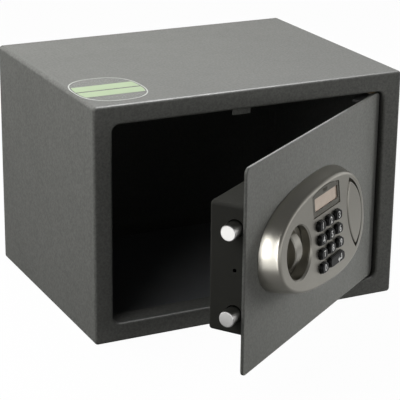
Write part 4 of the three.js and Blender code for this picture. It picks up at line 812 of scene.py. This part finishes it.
def drawn_shell(name, rings):
    """A closed solid through ovals; each ring is an inset and a rule for its depth at a height"""
    last, start = rings[0]
    piece = filled_outline(name, oval(last), -start(PANEL_Z))
    pick(piece, "FACE", lambda face: True)
    for inset, depth in rings[1:]:
        push(y=-1)
        bpy.ops.transform.resize(
            value=((HALF_WIDTH - inset) / (HALF_WIDTH - last), 1,
                   (HALF_HEIGHT - inset) / (HALF_HEIGHT - last)),
            center_override=(PANEL_X * MM, 0, PANEL_Z * MM))
        mesh = bmesh.from_edit_mesh(piece.data)
        for vertex in mesh.verts:
            if vertex.select:
                vertex.co.y = -depth(vertex.co.z / MM) * MM
        bmesh.update_edit_mesh(piece.data)
        last = inset
    leave()
    return tidy(piece)


def wall_ring(step):
    share = step / WALL_STEPS
    return DRAFT * share ** 1.5, lambda z: TOUCH + share * (face_depth(z) - FILLET - TOUCH)


def fillet_ring(step):
    angle = math.pi / 2 * step / FILLET_STEPS
    drop = FILLET * (1 - math.sin(angle))
    return DRAFT + FILLET * (1 - math.cos(angle)), lambda z: face_depth(z) - drop


panel = drawn_shell("panel_shell_moulding", [wall_ring(step) for step in range(WALL_STEPS + 1)]
                    + [fillet_ring(step) for step in range(1, FILLET_STEPS + 1)])
hollow = drawn_shell("hollow", [
    (WALL, lambda z: -1),
    (DRAFT + WALL, lambda z: face_depth(z) - FACE_THICKNESS - 2),
    (DRAFT + WALL + 2, lambda z: face_depth(z) - FACE_THICKNESS)])
print("shell faces:", len(panel.data.polygons), "hollow faces:", len(hollow.data.polygons))

# %% [markdown]
# The hollow leaves material where the panel needs it: a cup round the knob, a tray behind the cover
# and bosses for screws. They are cut out of the hollow first, so that one cut then makes the shell
# and all its inner walls at once. The openings in front follow: the knob's well with its slanted
# lip, the display's arched recess, the lens of the cover and eleven key holes.

# %% Hollow it and cut its openings
def key_places():
    """Name, place on the face and width of each key, row by row"""
    places = []
    for number in range(9):
        column, row = number % 3, number // 3
        spot = face_place(KEY_X + (column - 1) * PITCH_X, KEY_TOP - row * PITCH_Z)
        places.append((f"key_{number + 1}", spot, KEY_WIDTH))
    low = KEY_TOP - 3 * PITCH_Z
    places.append(("key_0", face_place(KEY_X - PITCH_X, low), KEY_WIDTH))
    places.append(("key_enter", face_place(KEY_X + PITCH_X / 2, low), KEY_WIDTH + PITCH_X))
    return places


def face_block(name, middle_at, width, height, start, end, corner, segments=6):
    """A block with round corners in the face's own frame"""
    x, z = middle_at
    return rounded_block(name, (x - width / 2, start, z - height / 2),
                         (x + width / 2, end, z + height / 2), corner, segments=segments)


KNOB_PLACE, FAR = (KNOB_X, KNOB_Z), -30
glass_x, glass_z = face_place(DISPLAY_X, DISPLAY_Z)
GLASS_PLACE, GLASS_WIDTH, GLASS_HEIGHT = (glass_x + 1, glass_z), 52, 13
cut(hollow, rod("cup", "Y", WELL_RADIUS + WELL_WALL, FAR, -WELL_FLOOR + WELL_WALL, KNOB_PLACE, 96))
cut(hollow, lay_on_face(slab("tray", lens_outline(-WALL), 0, LENS_RECESS + WALL)))
for place in PANEL_SCREWS:
    cut(hollow, rod("boss", "Y", 3.5, FAR, -TOUCH, place, 32))
for place in ((PANEL_X - 19.5, PANEL_Z + 22.2), (PANEL_X + 39, PANEL_Z + 22.2)):
    cut(hollow, lay_on_face(rod("board_boss", "Y", 2.5, 1.5, 7.4, face_place(*place), 24)))
cut(panel, hollow)

cut(panel, rod("well", "Y", WELL_RADIUS, FAR, -WELL_FLOOR, KNOB_PLACE, 96))
lip_x, lip_z = face_place(*KNOB_PLACE)
LIP_INNER, LIP_OUTER, LIP_DEPTH, LIP_Y = 25, 29.6, 4.6, 0.3
bpy.ops.mesh.primitive_cone_add(
    vertices=96, radius1=LIP_INNER * MM, radius2=LIP_OUTER * MM, depth=LIP_DEPTH * MM,
    location=Vector((lip_x, LIP_Y, lip_z)) * MM, rotation=AXIS_TURN["Y"])
cut(panel, lay_on_face(settle(bpy.context.object, "lip")))
cut(panel, rod("hub_hole", "Y", HUB_HOLE, -WELL_FLOOR - 1, 1, KNOB_PLACE))
cut(panel, lay_on_face(slab("lens_recess", lens_outline(0), -5, LENS_RECESS)))
cut(panel, lay_on_face(slab("display_recess", display_outline(0), -5, DISPLAY_RECESS)))
cut(panel, lay_on_face(face_block("glass_hole", GLASS_PLACE, GLASS_WIDTH + 3.6, GLASS_HEIGHT + 3.6,
                                  0, 4, 1)))
cut(panel, rod("lock_hole", "Y", LOCK_HOLE, FAR, 1, (LOCK_X, LOCK_Z)))
for place in PANEL_SCREWS:
    cut(panel, rod("screw_hole", "Y", THREAD, -SCREW_LENGTH, 1, place, 24))
for name, place, width in key_places():
    cut(panel, lay_on_face(face_block(
        "key_hole", place, width + 2 * RUNNING, KEY_HEIGHT + 2 * RUNNING, -5, 4, KEY_CORNER)))
soften(panel, 0.35, angle=38, shade=30)
hang(panel, "door", "panel_shell", "panel_housing")

# %% [markdown]
# ## The knob
# A thumb turns the bolts with an arched blade that stands on a disc in the well. The blade is a
# slice of a wide cylinder: the bisect tool cuts away all that lies behind the disc, and its two
# arched edges are rounded where the thumb presses.

# %% The knob
DISC_FRONT, DISC_BACK, BLADE_WIDTH, BLADE_RADIUS = -10.9, -8.3, 14, 23
blade_middle = BLADE_RADIUS - face_depth(KNOB_Z)
blade = rod("blade", "X", BLADE_RADIUS, KNOB_X - BLADE_WIDTH / 2, KNOB_X + BLADE_WIDTH / 2,
            (blade_middle, KNOB_Z), 128)
pick(blade, "FACE", lambda face: True)
bpy.ops.mesh.bisect(plane_co=(0, (DISC_BACK - TOUCH) * MM, 0), plane_no=(0, 1, 0),
                    use_fill=True, clear_outer=True)
leave()
round_edges(blade, lambda edge: abs(abs(middle(edge).x - KNOB_X) - BLADE_WIDTH / 2) < 0.05
            and middle(edge).y < DISC_FRONT, 1.5, 5)
knob = rod("knob_disc", "Y", WELL_RADIUS - DISC_GAP, DISC_FRONT, DISC_BACK, KNOB_PLACE, 96)
round_edges(knob, in_plane("Y", DISC_FRONT), 0.6, 3)
join(knob, blade, rod("hub", "Y", HUB_RADIUS, DISC_FRONT + 1, -TOUCH, KNOB_PLACE))
cut(knob, rod("bore", "Y", BORE_RADIUS, -WELL_FLOOR + TOUCH, 1, KNOB_PLACE))
soften(knob, 0.3, angle=50, shade=32)
hang(knob, "knob_set", "panel_shell", "knob")

# %% [markdown]
# ## The display
# A dark frame with an arched top fills the recess and leaves a fine gap round it. Its window has a
# broken edge, and five short ribs stand under the arch. The display behind it is a block of its own
# with a clear front, sunk a little below the frame.

# %% The display
SURROUND_FRONT, SURROUND_BACK, SURROUND_GAP, RIBS, RIB_PITCH = 0.6, 1.5, 0.9, 5, 2
surround = slab("display_frame_arched", display_outline(SURROUND_GAP), SURROUND_FRONT,
                SURROUND_BACK)
round_edges(surround, in_plane("Y", SURROUND_FRONT), 0.35, 3)
cut(surround, face_block("glass_window", GLASS_PLACE, GLASS_WIDTH, GLASS_HEIGHT, -1, 3, 1))
rib_x, rib_z = face_place(DISPLAY_X, DISPLAY_Z + 10)
for number in range(RIBS):
    place = (rib_x + (number - (RIBS - 1) / 2) * RIB_PITCH, rib_z)
    join(surround, face_block("rib", place, RIB_PITCH / 2, GLASS_HEIGHT / 4, 0.2, 0.8, 0.3, 3))
soften(surround, 0.15)
lay_on_face(surround)
hang(surround, "door", "display_frame", "display_surround")

glass = face_block("display_glass", GLASS_PLACE, GLASS_WIDTH + 3, GLASS_HEIGHT + 3, DISPLAY_RECESS,
                   7.4, 1)
break_edges(glass, 0.3)
smooth(glass)
lay_on_face(glass)
hang(glass, "door", "display_window", "lcd_module")

# %% [markdown]
# ## The keys
# Every key is one moulding: a flange that stops it behind the face, a stem and a domed cap. The
# dome is a rounded front edge followed by two insets that each rise a little. Digits are Blender
# text turned into a mesh; they ride with their key. The wide key gets a plain return arrow.

# %% The keys and their digits
KEY_FRONT, KEY_BACK, DOME = -3.1, 4.1, ((1.5, 0.5), (1.6, 0.25))
CREST = KEY_FRONT - sum(rise for _, rise in DOME)
FLANGE = 1.4
DIGIT_SIZE, DIGIT_HALF, DIGIT_WEIGHT, DIGIT_LIFT = 9.2, 0.2, 0.18, 0.14


def key_cap(name, width):
    """A key at the origin of the face's frame"""
    cap = face_block(name, (0, 0), width, KEY_HEIGHT, KEY_FRONT, KEY_BACK, KEY_CORNER, 8)
    round_edges(cap, in_plane("Y", KEY_FRONT), 1.4, 6)
    pick(cap, "FACE", lambda face: at(middle(face).y, KEY_FRONT))
    for width_in, rise in DOME:
        bpy.ops.mesh.inset(thickness=width_in * MM)
        bpy.ops.transform.translate(value=(0, -rise * MM, 0))
    leave()
    join(cap, face_block("flange", (0, 0), width + 2 * FLANGE, KEY_HEIGHT + 2 * FLANGE,
                         KEY_BACK - 0.8, KEY_BACK, KEY_CORNER + FLANGE))
    tidy(cap)
    return smooth(cap, angle=50)


def digit(text, place):
    bpy.ops.object.text_add()
    writing = bpy.context.object
    writing.data.body = text
    writing.data.align_x, writing.data.align_y = "CENTER", "CENTER"
    writing.data.size = DIGIT_SIZE * MM
    writing.data.extrude = DIGIT_HALF * MM
    writing.data.offset = DIGIT_WEIGHT * MM
    bpy.ops.object.convert(target="MESH")
    writing.rotation_euler = (math.pi / 2, 0, 0)
    writing.location = Vector((place[0], CREST + DIGIT_LIFT, place[1])) * MM
    return settle(writing, "digit_" + text)


narrow = key_cap("cap_narrow", KEY_WIDTH)
wide = key_cap("cap_wide", KEY_WIDTH + PITCH_X)
ARROW = [(-4.6, -1.4), (-1.5, -4.2), (-1.5, -2.3), (4.6, -2.3), (4.6, 3.2), (2.9, 3.2), (2.9, -0.5),
         (-1.5, -0.5), (-1.5, 1.4)]
ARROW_SHIFT = 4.5
for name, (x, z), width in key_places():
    cap = own_copy(wide if width > KEY_WIDTH else narrow, "cap_" + name, (x, 0, z))
    if name == "key_enter":
        outline = [(x + ARROW_SHIFT + a, z + b) for a, b in ARROW]
        mark = slab("return_arrow", outline, CREST - 0.06, CREST + 0.3)
    else:
        mark = digit(name[-1], (x, z))
    for piece, slot, packed in ((cap, "key_plastic", [name]), (mark, "white_print", [])):
        lay_on_face(piece)
        hang(piece, name + "_cap", slot, *packed)
for model in (narrow, wide):
    bpy.data.objects.remove(model, do_unlink=True)

# %% [markdown]
# ## The override cover
# The key lock hides under a lens-shaped lid. Its front rim is rounded far more than a cut edge
# would be, so it catches the studio light as a bright band. Two legs behind it hold it in its tray.

# %% The override cover
COVER_FRONT, COVER_BACK, COVER_GAP, COVER_ROUND = -0.8, 1.2, 1.4, 1.5
cover = slab("lens_cover", lens_outline(COVER_GAP, 28), COVER_FRONT, COVER_BACK)
round_edges(cover, in_plane("Y", COVER_FRONT), COVER_ROUND, 5)
lock_face_x, lock_face_z = face_place(LOCK_X, LOCK_Z)
for side in (-20, 20):
    join(cover, block("leg", (lock_face_x - 4, 0.5, lock_face_z + side - 1),
                      (lock_face_x + 4, LENS_RECESS - TOUCH, lock_face_z + side + 1)))
tidy(cover)
smooth(cover)
lay_on_face(cover)
hang(cover, "override_lid", "panel_shell", "override_cover")

# %% [markdown]
# ## Behind the door: lid, reset button and screws
# The battery lid is a flat moulding with a shallow finger grip. The reset button is a turned peg
# with a flange inside the case. Four pan-head screws hold the case; one is modelled, with a cross
# cut into its head, and the others are copies of it.

# %% Lid, button and screws
lid = rounded_block(
    "battery_hatch",
    (BATTERY_X - BATTERY_WIDTH / 2 + 0.4, CASE_REAR - 1.7, BATTERY_Z - BATTERY_HEIGHT / 2 + 0.4),
    (BATTERY_X + BATTERY_WIDTH / 2 - 0.4, CASE_REAR + TOUCH, BATTERY_Z + BATTERY_HEIGHT / 2 - 0.4),
    2)
GRIP_Z = BATTERY_Z + BATTERY_HEIGHT / 2 - 8
cut(lid, rounded_block("grip", (BATTERY_X - 9, CASE_REAR - 1, GRIP_Z - 3),
                       (BATTERY_X + 9, CASE_REAR + 1, GRIP_Z + 3), 2.7))
soften(lid, 0.4, segments=3)
hang(lid, "battery_door", "case_paint", "battery_lid")

PEG_IN, PEG_OUT, PEG_FLANGE = CASE_REAR - 7.8, CASE_REAR + 1.6, 1.4
button = rod("reset_peg", "Y", RESET_RADIUS, PEG_IN, PEG_OUT, (RESET_X, RESET_Z))
round_edges(button, in_plane("Y", PEG_OUT), 0.9, 4)
join(button, rod("peg_flange", "Y", RESET_RADIUS + PEG_FLANGE, CASE_REAR - 2.8, CASE_REAR - 1.8,
                 (RESET_X, RESET_Z)))
tidy(button)
smooth(button)
hang(button, "code_reset", "reset_plastic", "reset_button")

SEAT, HEAD, HEAD_RADIUS = CASE_REAR + TOUCH, 2.2, 4
first_x, first_z = STUDS[0]
screw = rod("pan_screw", "Y", HEAD_RADIUS, SEAT, SEAT + HEAD, STUDS[0])
round_edges(screw, in_plane("Y", SEAT + HEAD), 1.3, 5)
join(screw, rod("shank", "Y", 2, SEAT - SCREW_LENGTH, SEAT + 1, STUDS[0], 24))
for wide_x, wide_z in ((2.4, 0.5), (0.5, 2.4)):
    cut(screw, block("cross", (first_x - wide_x, SEAT + 0.9, first_z - wide_z),
                     (first_x + wide_x, SEAT + HEAD + 1, first_z + wide_z)))
tidy(screw)
smooth(screw)
for number, (x, z) in enumerate(STUDS, 1):
    copy = own_copy(screw, f"pan_screw_{number}", (x - first_x, 0, z - first_z))
    hang(copy, "door", "zinc_steel", f"case_screw_{number}")
bpy.data.objects.remove(screw, do_unlink=True)

# %% [markdown]
# ## The felt mat
# A sheet of needled felt covers the cabinet's floor. Felt never lies quite flat, so a fine grid is
# lifted by two slow waves and thickened downwards.

# %% The felt mat
MAT_WIDTH, MAT_DEPTH, MAT_TOP, MAT_THICKNESS = 342, 262, 5.3, 2.7
bpy.ops.mesh.primitive_grid_add(
    x_subdivisions=90, y_subdivisions=70, size=1, location=(0, 0, MAT_TOP * MM))
bpy.context.object.scale = (MAT_WIDTH * MM, MAT_DEPTH * MM, 1)
mat = settle(bpy.context.object, "felt_sheet")
for vertex in mat.data.vertices:
    x, y = vertex.co.x / MM, vertex.co.y / MM
    wave = 0.12 * math.sin(x / 31) * math.cos(y / 23) + 0.08 * math.sin((x + y) / 11)
    vertex.co.z += (wave - 0.2) * MM
modify(mat, "SOLIDIFY", thickness=MAT_THICKNESS * MM, offset=-1)
break_edges(mat, 0.5, angle=60, segments=3)
smooth(mat, angle=60)
hand_over(mat, "cabinet", "mat_felt", "floor_mat")

# %% [markdown]
# ## The film on the top
# A clear film with a pale rim and two plain green bands sticks to the cabinet's top, near its front
# left corner. The film is one thin slab. Its bands and its rim are masks in its material, worked
# out from the same centre and half sizes as its outline, and between them the paint shows through.

# %% The film on the top
FILM_X, FILM_Y, FILM_WIDE, FILM_DEEP, FILM_POWER = -135.5, -78, 37, 43, 2.5
FILM_UNDER, FILM_OVER = 0.02, 0.15
RIM_START, PRINT_END = 0.92, 0.84
BANDS_MIDDLE, BAND_PLACE, BAND_HALF = -0.045, 0.24, 0.205
CLEAR = 0.1
outline = [(FILM_X + FILM_WIDE * across, FILM_Y + FILM_DEEP * along)
           for across, along in rounded_circle(FILM_POWER, 96)]
film = slab("top_film", outline, -HEIGHT - FILM_OVER, -HEIGHT - FILM_UNDER)
move_by(film, Matrix.Rotation(-math.pi / 2, 4, "X"))


def film_finish():
    """Masks for the rim and the two bands, worked out from the place on the film"""
    tree = FINISHES["label_film"].node_tree
    shader = tree.nodes["Principled BSDF"]
    do = sums(tree)
    place = axes_of(tree, node(tree, "ShaderNodeTexCoord").outputs["Object"])
    across = do("DIVIDE", do("SUBTRACT", place["X"], FILM_X * MM), FILM_WIDE * MM)
    along = do("DIVIDE", do("SUBTRACT", place["Y"], FILM_Y * MM), FILM_DEEP * MM)
    spread = do("ADD", do("POWER", do("ABSOLUTE", across), FILM_POWER),
                do("POWER", do("ABSOLUTE", along), FILM_POWER))
    rim = do("GREATER_THAN", spread, RIM_START)
    inner = do("LESS_THAN", spread, PRINT_END)
    from_middle = do("ABSOLUTE", do("ADD", along, -BANDS_MIDDLE))
    bands = do("LESS_THAN", do("ABSOLUTE", do("SUBTRACT", from_middle, BAND_PLACE)), BAND_HALF)
    printed = do("MULTIPLY", bands, inner)
    alpha = do("ADD", do("MAXIMUM", rim, printed), CLEAR, clamp=True)
    tree.links.new(alpha, shader.inputs["Alpha"])
    blend = node(tree, "ShaderNodeMix", data_type="RGBA")
    blend.inputs[6].default_value = (0.62, 0.64, 0.6, 1)
    blend.inputs[7].default_value = (0.46, 0.58, 0.36, 1)
    tree.links.new(printed, blend.inputs[0])
    tree.links.new(blend.outputs[2], shader.inputs["Base Color"])


film_finish()
hand_over(film, "cabinet", "label_film")

# %% [markdown]
# ## Studio light
# The picture shows the safe on plain white with a bright top and a dark front rim. Five soft lamps
# light the surfaces and never show in them: one hangs above, one stands to the left and one far to
# the right, where it falls on the open door but only grazes the rim, and two weak ones fill in from
# the front. Four more lamps do the opposite. They show only as reflections, and each is linked to
# the few pieces that it brightens. The floor keeps the safe's shadow.

# %% Lights, floor and backdrop
def soft_box(name, place, aim, size, power, kind, lit=()):
    """An area lamp; a soft one lights surfaces only, a mirrored one shows only in reflections"""
    bpy.ops.object.light_add(type="AREA", location=Vector(place) * MM)
    lamp = bpy.context.object
    lamp.name = name
    lamp.data.shape = "RECTANGLE"
    lamp.data.size, lamp.data.size_y = (side * MM for side in size)
    lamp.data.energy = power
    lamp.visible_camera = False
    lamp.visible_diffuse, lamp.visible_glossy = kind != "mirrored", kind != "soft"
    direction = (Vector(aim) - Vector(place)).normalized()
    lamp.rotation_euler = direction.to_track_quat("-Z", "Y").to_euler()
    if lit:
        lamp.light_linking.receiver_collection = bpy.data.collections.new(name + "_lights")
        for piece in lit:
            lamp.light_linking.receiver_collection.objects.link(bpy.data.objects[piece])


PANEL_PIECES = ("panel_shell_moulding", "lens_cover", "knob_disc")
BOLT_PIECES = ("bolt_bar_lower", "bolt_bar_upper")
soft_box("light_above", (-50, 450, 1080), (0, 60, 200), (1000, 700), 9.2, "soft")
soft_box("light_left", (-900, 200, 900), (-175, 0, 150), (600, 740), 8, "soft")
soft_box("light_right", (1150, -20, 200), (50, -190, 110), (900, 400), 9.5, "soft")
soft_box("light_front", (500, -1200, 150), (0, -135, 110), (700, 300), 2.4, "soft")
soft_box("light_mouth", (-710, -485, 590), (-60, -280, 150), (500, 850), 2, "soft")
soft_box("card_tall", (-470, -430, 330), (-60, -280, 150), (420, 640), 5.2, "mirrored",
         PANEL_PIECES)
soft_box("card_low", (-330, -380, 8), (-60, -280, 130), (400, 250), 0.45, "mirrored",
         PANEL_PIECES + BOLT_PIECES)
soft_box("light_bend", (330, -69, 1240), (-120, -135, 250), (420, 200), 60, "mirrored",
         ("cabinet_shell",))
soft_box("light_edge", (468, 746, 648), (-60, -250, 228), (500, 200), 5, "mirrored",
         ("door_sheet",))


def seen_rays(tree):
    """1 for rays that come from the camera, straight or by way of a mirror or a clear film"""
    ray = node(tree, "ShaderNodeLightPath").outputs
    mirrored = maths(tree, "MAXIMUM", ray["Is Glossy Ray"], ray["Is Transmission Ray"])
    return ray["Is Camera Ray"], mirrored


def mix_to(tree, output, share, first, second):
    """Mixes two shaders by a share and sends them to the tree's output node"""
    mix = node(tree, "ShaderNodeMixShader")
    tree.links.new(share, mix.inputs["Fac"])
    tree.links.new(first, mix.inputs[1])
    tree.links.new(second, mix.inputs[2])
    tree.links.new(mix.outputs["Shader"], tree.nodes[output].inputs["Surface"])


# Painted reflection: mirrored rays see the floor glow dimly to the safe's left and brighter near its right, fading
# further out. This paints light and shade onto the floor that only reflections show.
PAPER_GLOW, GLOW_STRAIGHT, PAINTED_REFLECTION_LEFT, PAINTED_REFLECTION_RIGHT, PAINTED_REFLECTION_FADE = 1.25, 0.78, 0.13, 0.42, 0.34
NEAR_EDGE, FAR_EDGE = 0.25, 0.7
bpy.ops.mesh.primitive_plane_add(size=8, location=(0, 0, 0))
floor = settle(bpy.context.object, "studio_floor")
paper = bpy.data.materials.new("paper_floor")
paper.use_nodes = True
tree = paper.node_tree
tree.nodes.remove(tree.nodes["Principled BSDF"])
diffuse = node(tree, "ShaderNodeBsdfDiffuse", Color=(0.1, 0.1, 0.1, 1))
glow = node(tree, "ShaderNodeEmission", Color=(1, 1, 1, 1), Strength=PAPER_GLOW)
straight, mirrored = seen_rays(tree)
spot = node(tree, "ShaderNodeTexCoord").outputs["Object"]
away = node(tree, "ShaderNodeVectorMath", operation="LENGTH")
tree.links.new(spot, away.inputs[0])
do = sums(tree)
# The painted reflection on the floor: a dim glow on the left and a brighter glow near the right that fades with
# distance.
far = do("MULTIPLY", ramp(tree, away.outputs["Value"], NEAR_EDGE, FAR_EDGE), PAINTED_REFLECTION_FADE)
rightward = ramp(tree, axes_of(tree, spot)["X"], 0, NEAR_EDGE)
right = do("MULTIPLY", rightward, do("SUBTRACT", PAINTED_REFLECTION_RIGHT, far))
share = do("ADD", do("MULTIPLY", straight, GLOW_STRAIGHT),
           do("MULTIPLY", mirrored, do("ADD", right, PAINTED_REFLECTION_LEFT)))
mix_to(tree, "Material Output", share, diffuse.outputs["BSDF"], glow.outputs["Emission"])
floor.data.materials.append(paper)
floor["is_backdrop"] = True

WORLD_DIM = 0.02
world = bpy.data.worlds.new("studio")
world.use_nodes = True
scene.world = world
tree = world.node_tree
dim = tree.nodes["Background"]
dim.inputs["Strength"].default_value = WORLD_DIM
dim.inputs["Color"].default_value = (1, 1, 1, 1)
bright = node(tree, "ShaderNodeBackground", Strength=1.0)
height = axes_of(tree, node(tree, "ShaderNodeTexCoord").outputs["Generated"])["Z"]
tree.links.new(ramp(tree, height, 0.1, 0.6, start=1.0, end=0.12), bright.inputs["Color"])
share = maths(tree, "MAXIMUM", *seen_rays(tree))
mix_to(tree, "World Output", share, dim.outputs["Background"], bright.outputs["Background"])
scene.view_settings.view_transform = "Standard"

# %% [markdown]
# ## Finish
# The last cell compares the finished model's box with the imported model's.

# %% Compare the sizes and finish
seen_box = [list(corner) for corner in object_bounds()]
growth = [[round((b - a) / MM, 2) for a, b in zip(*pair)] for pair in zip(cad_box, seen_box)]
print("box grew by", growth)
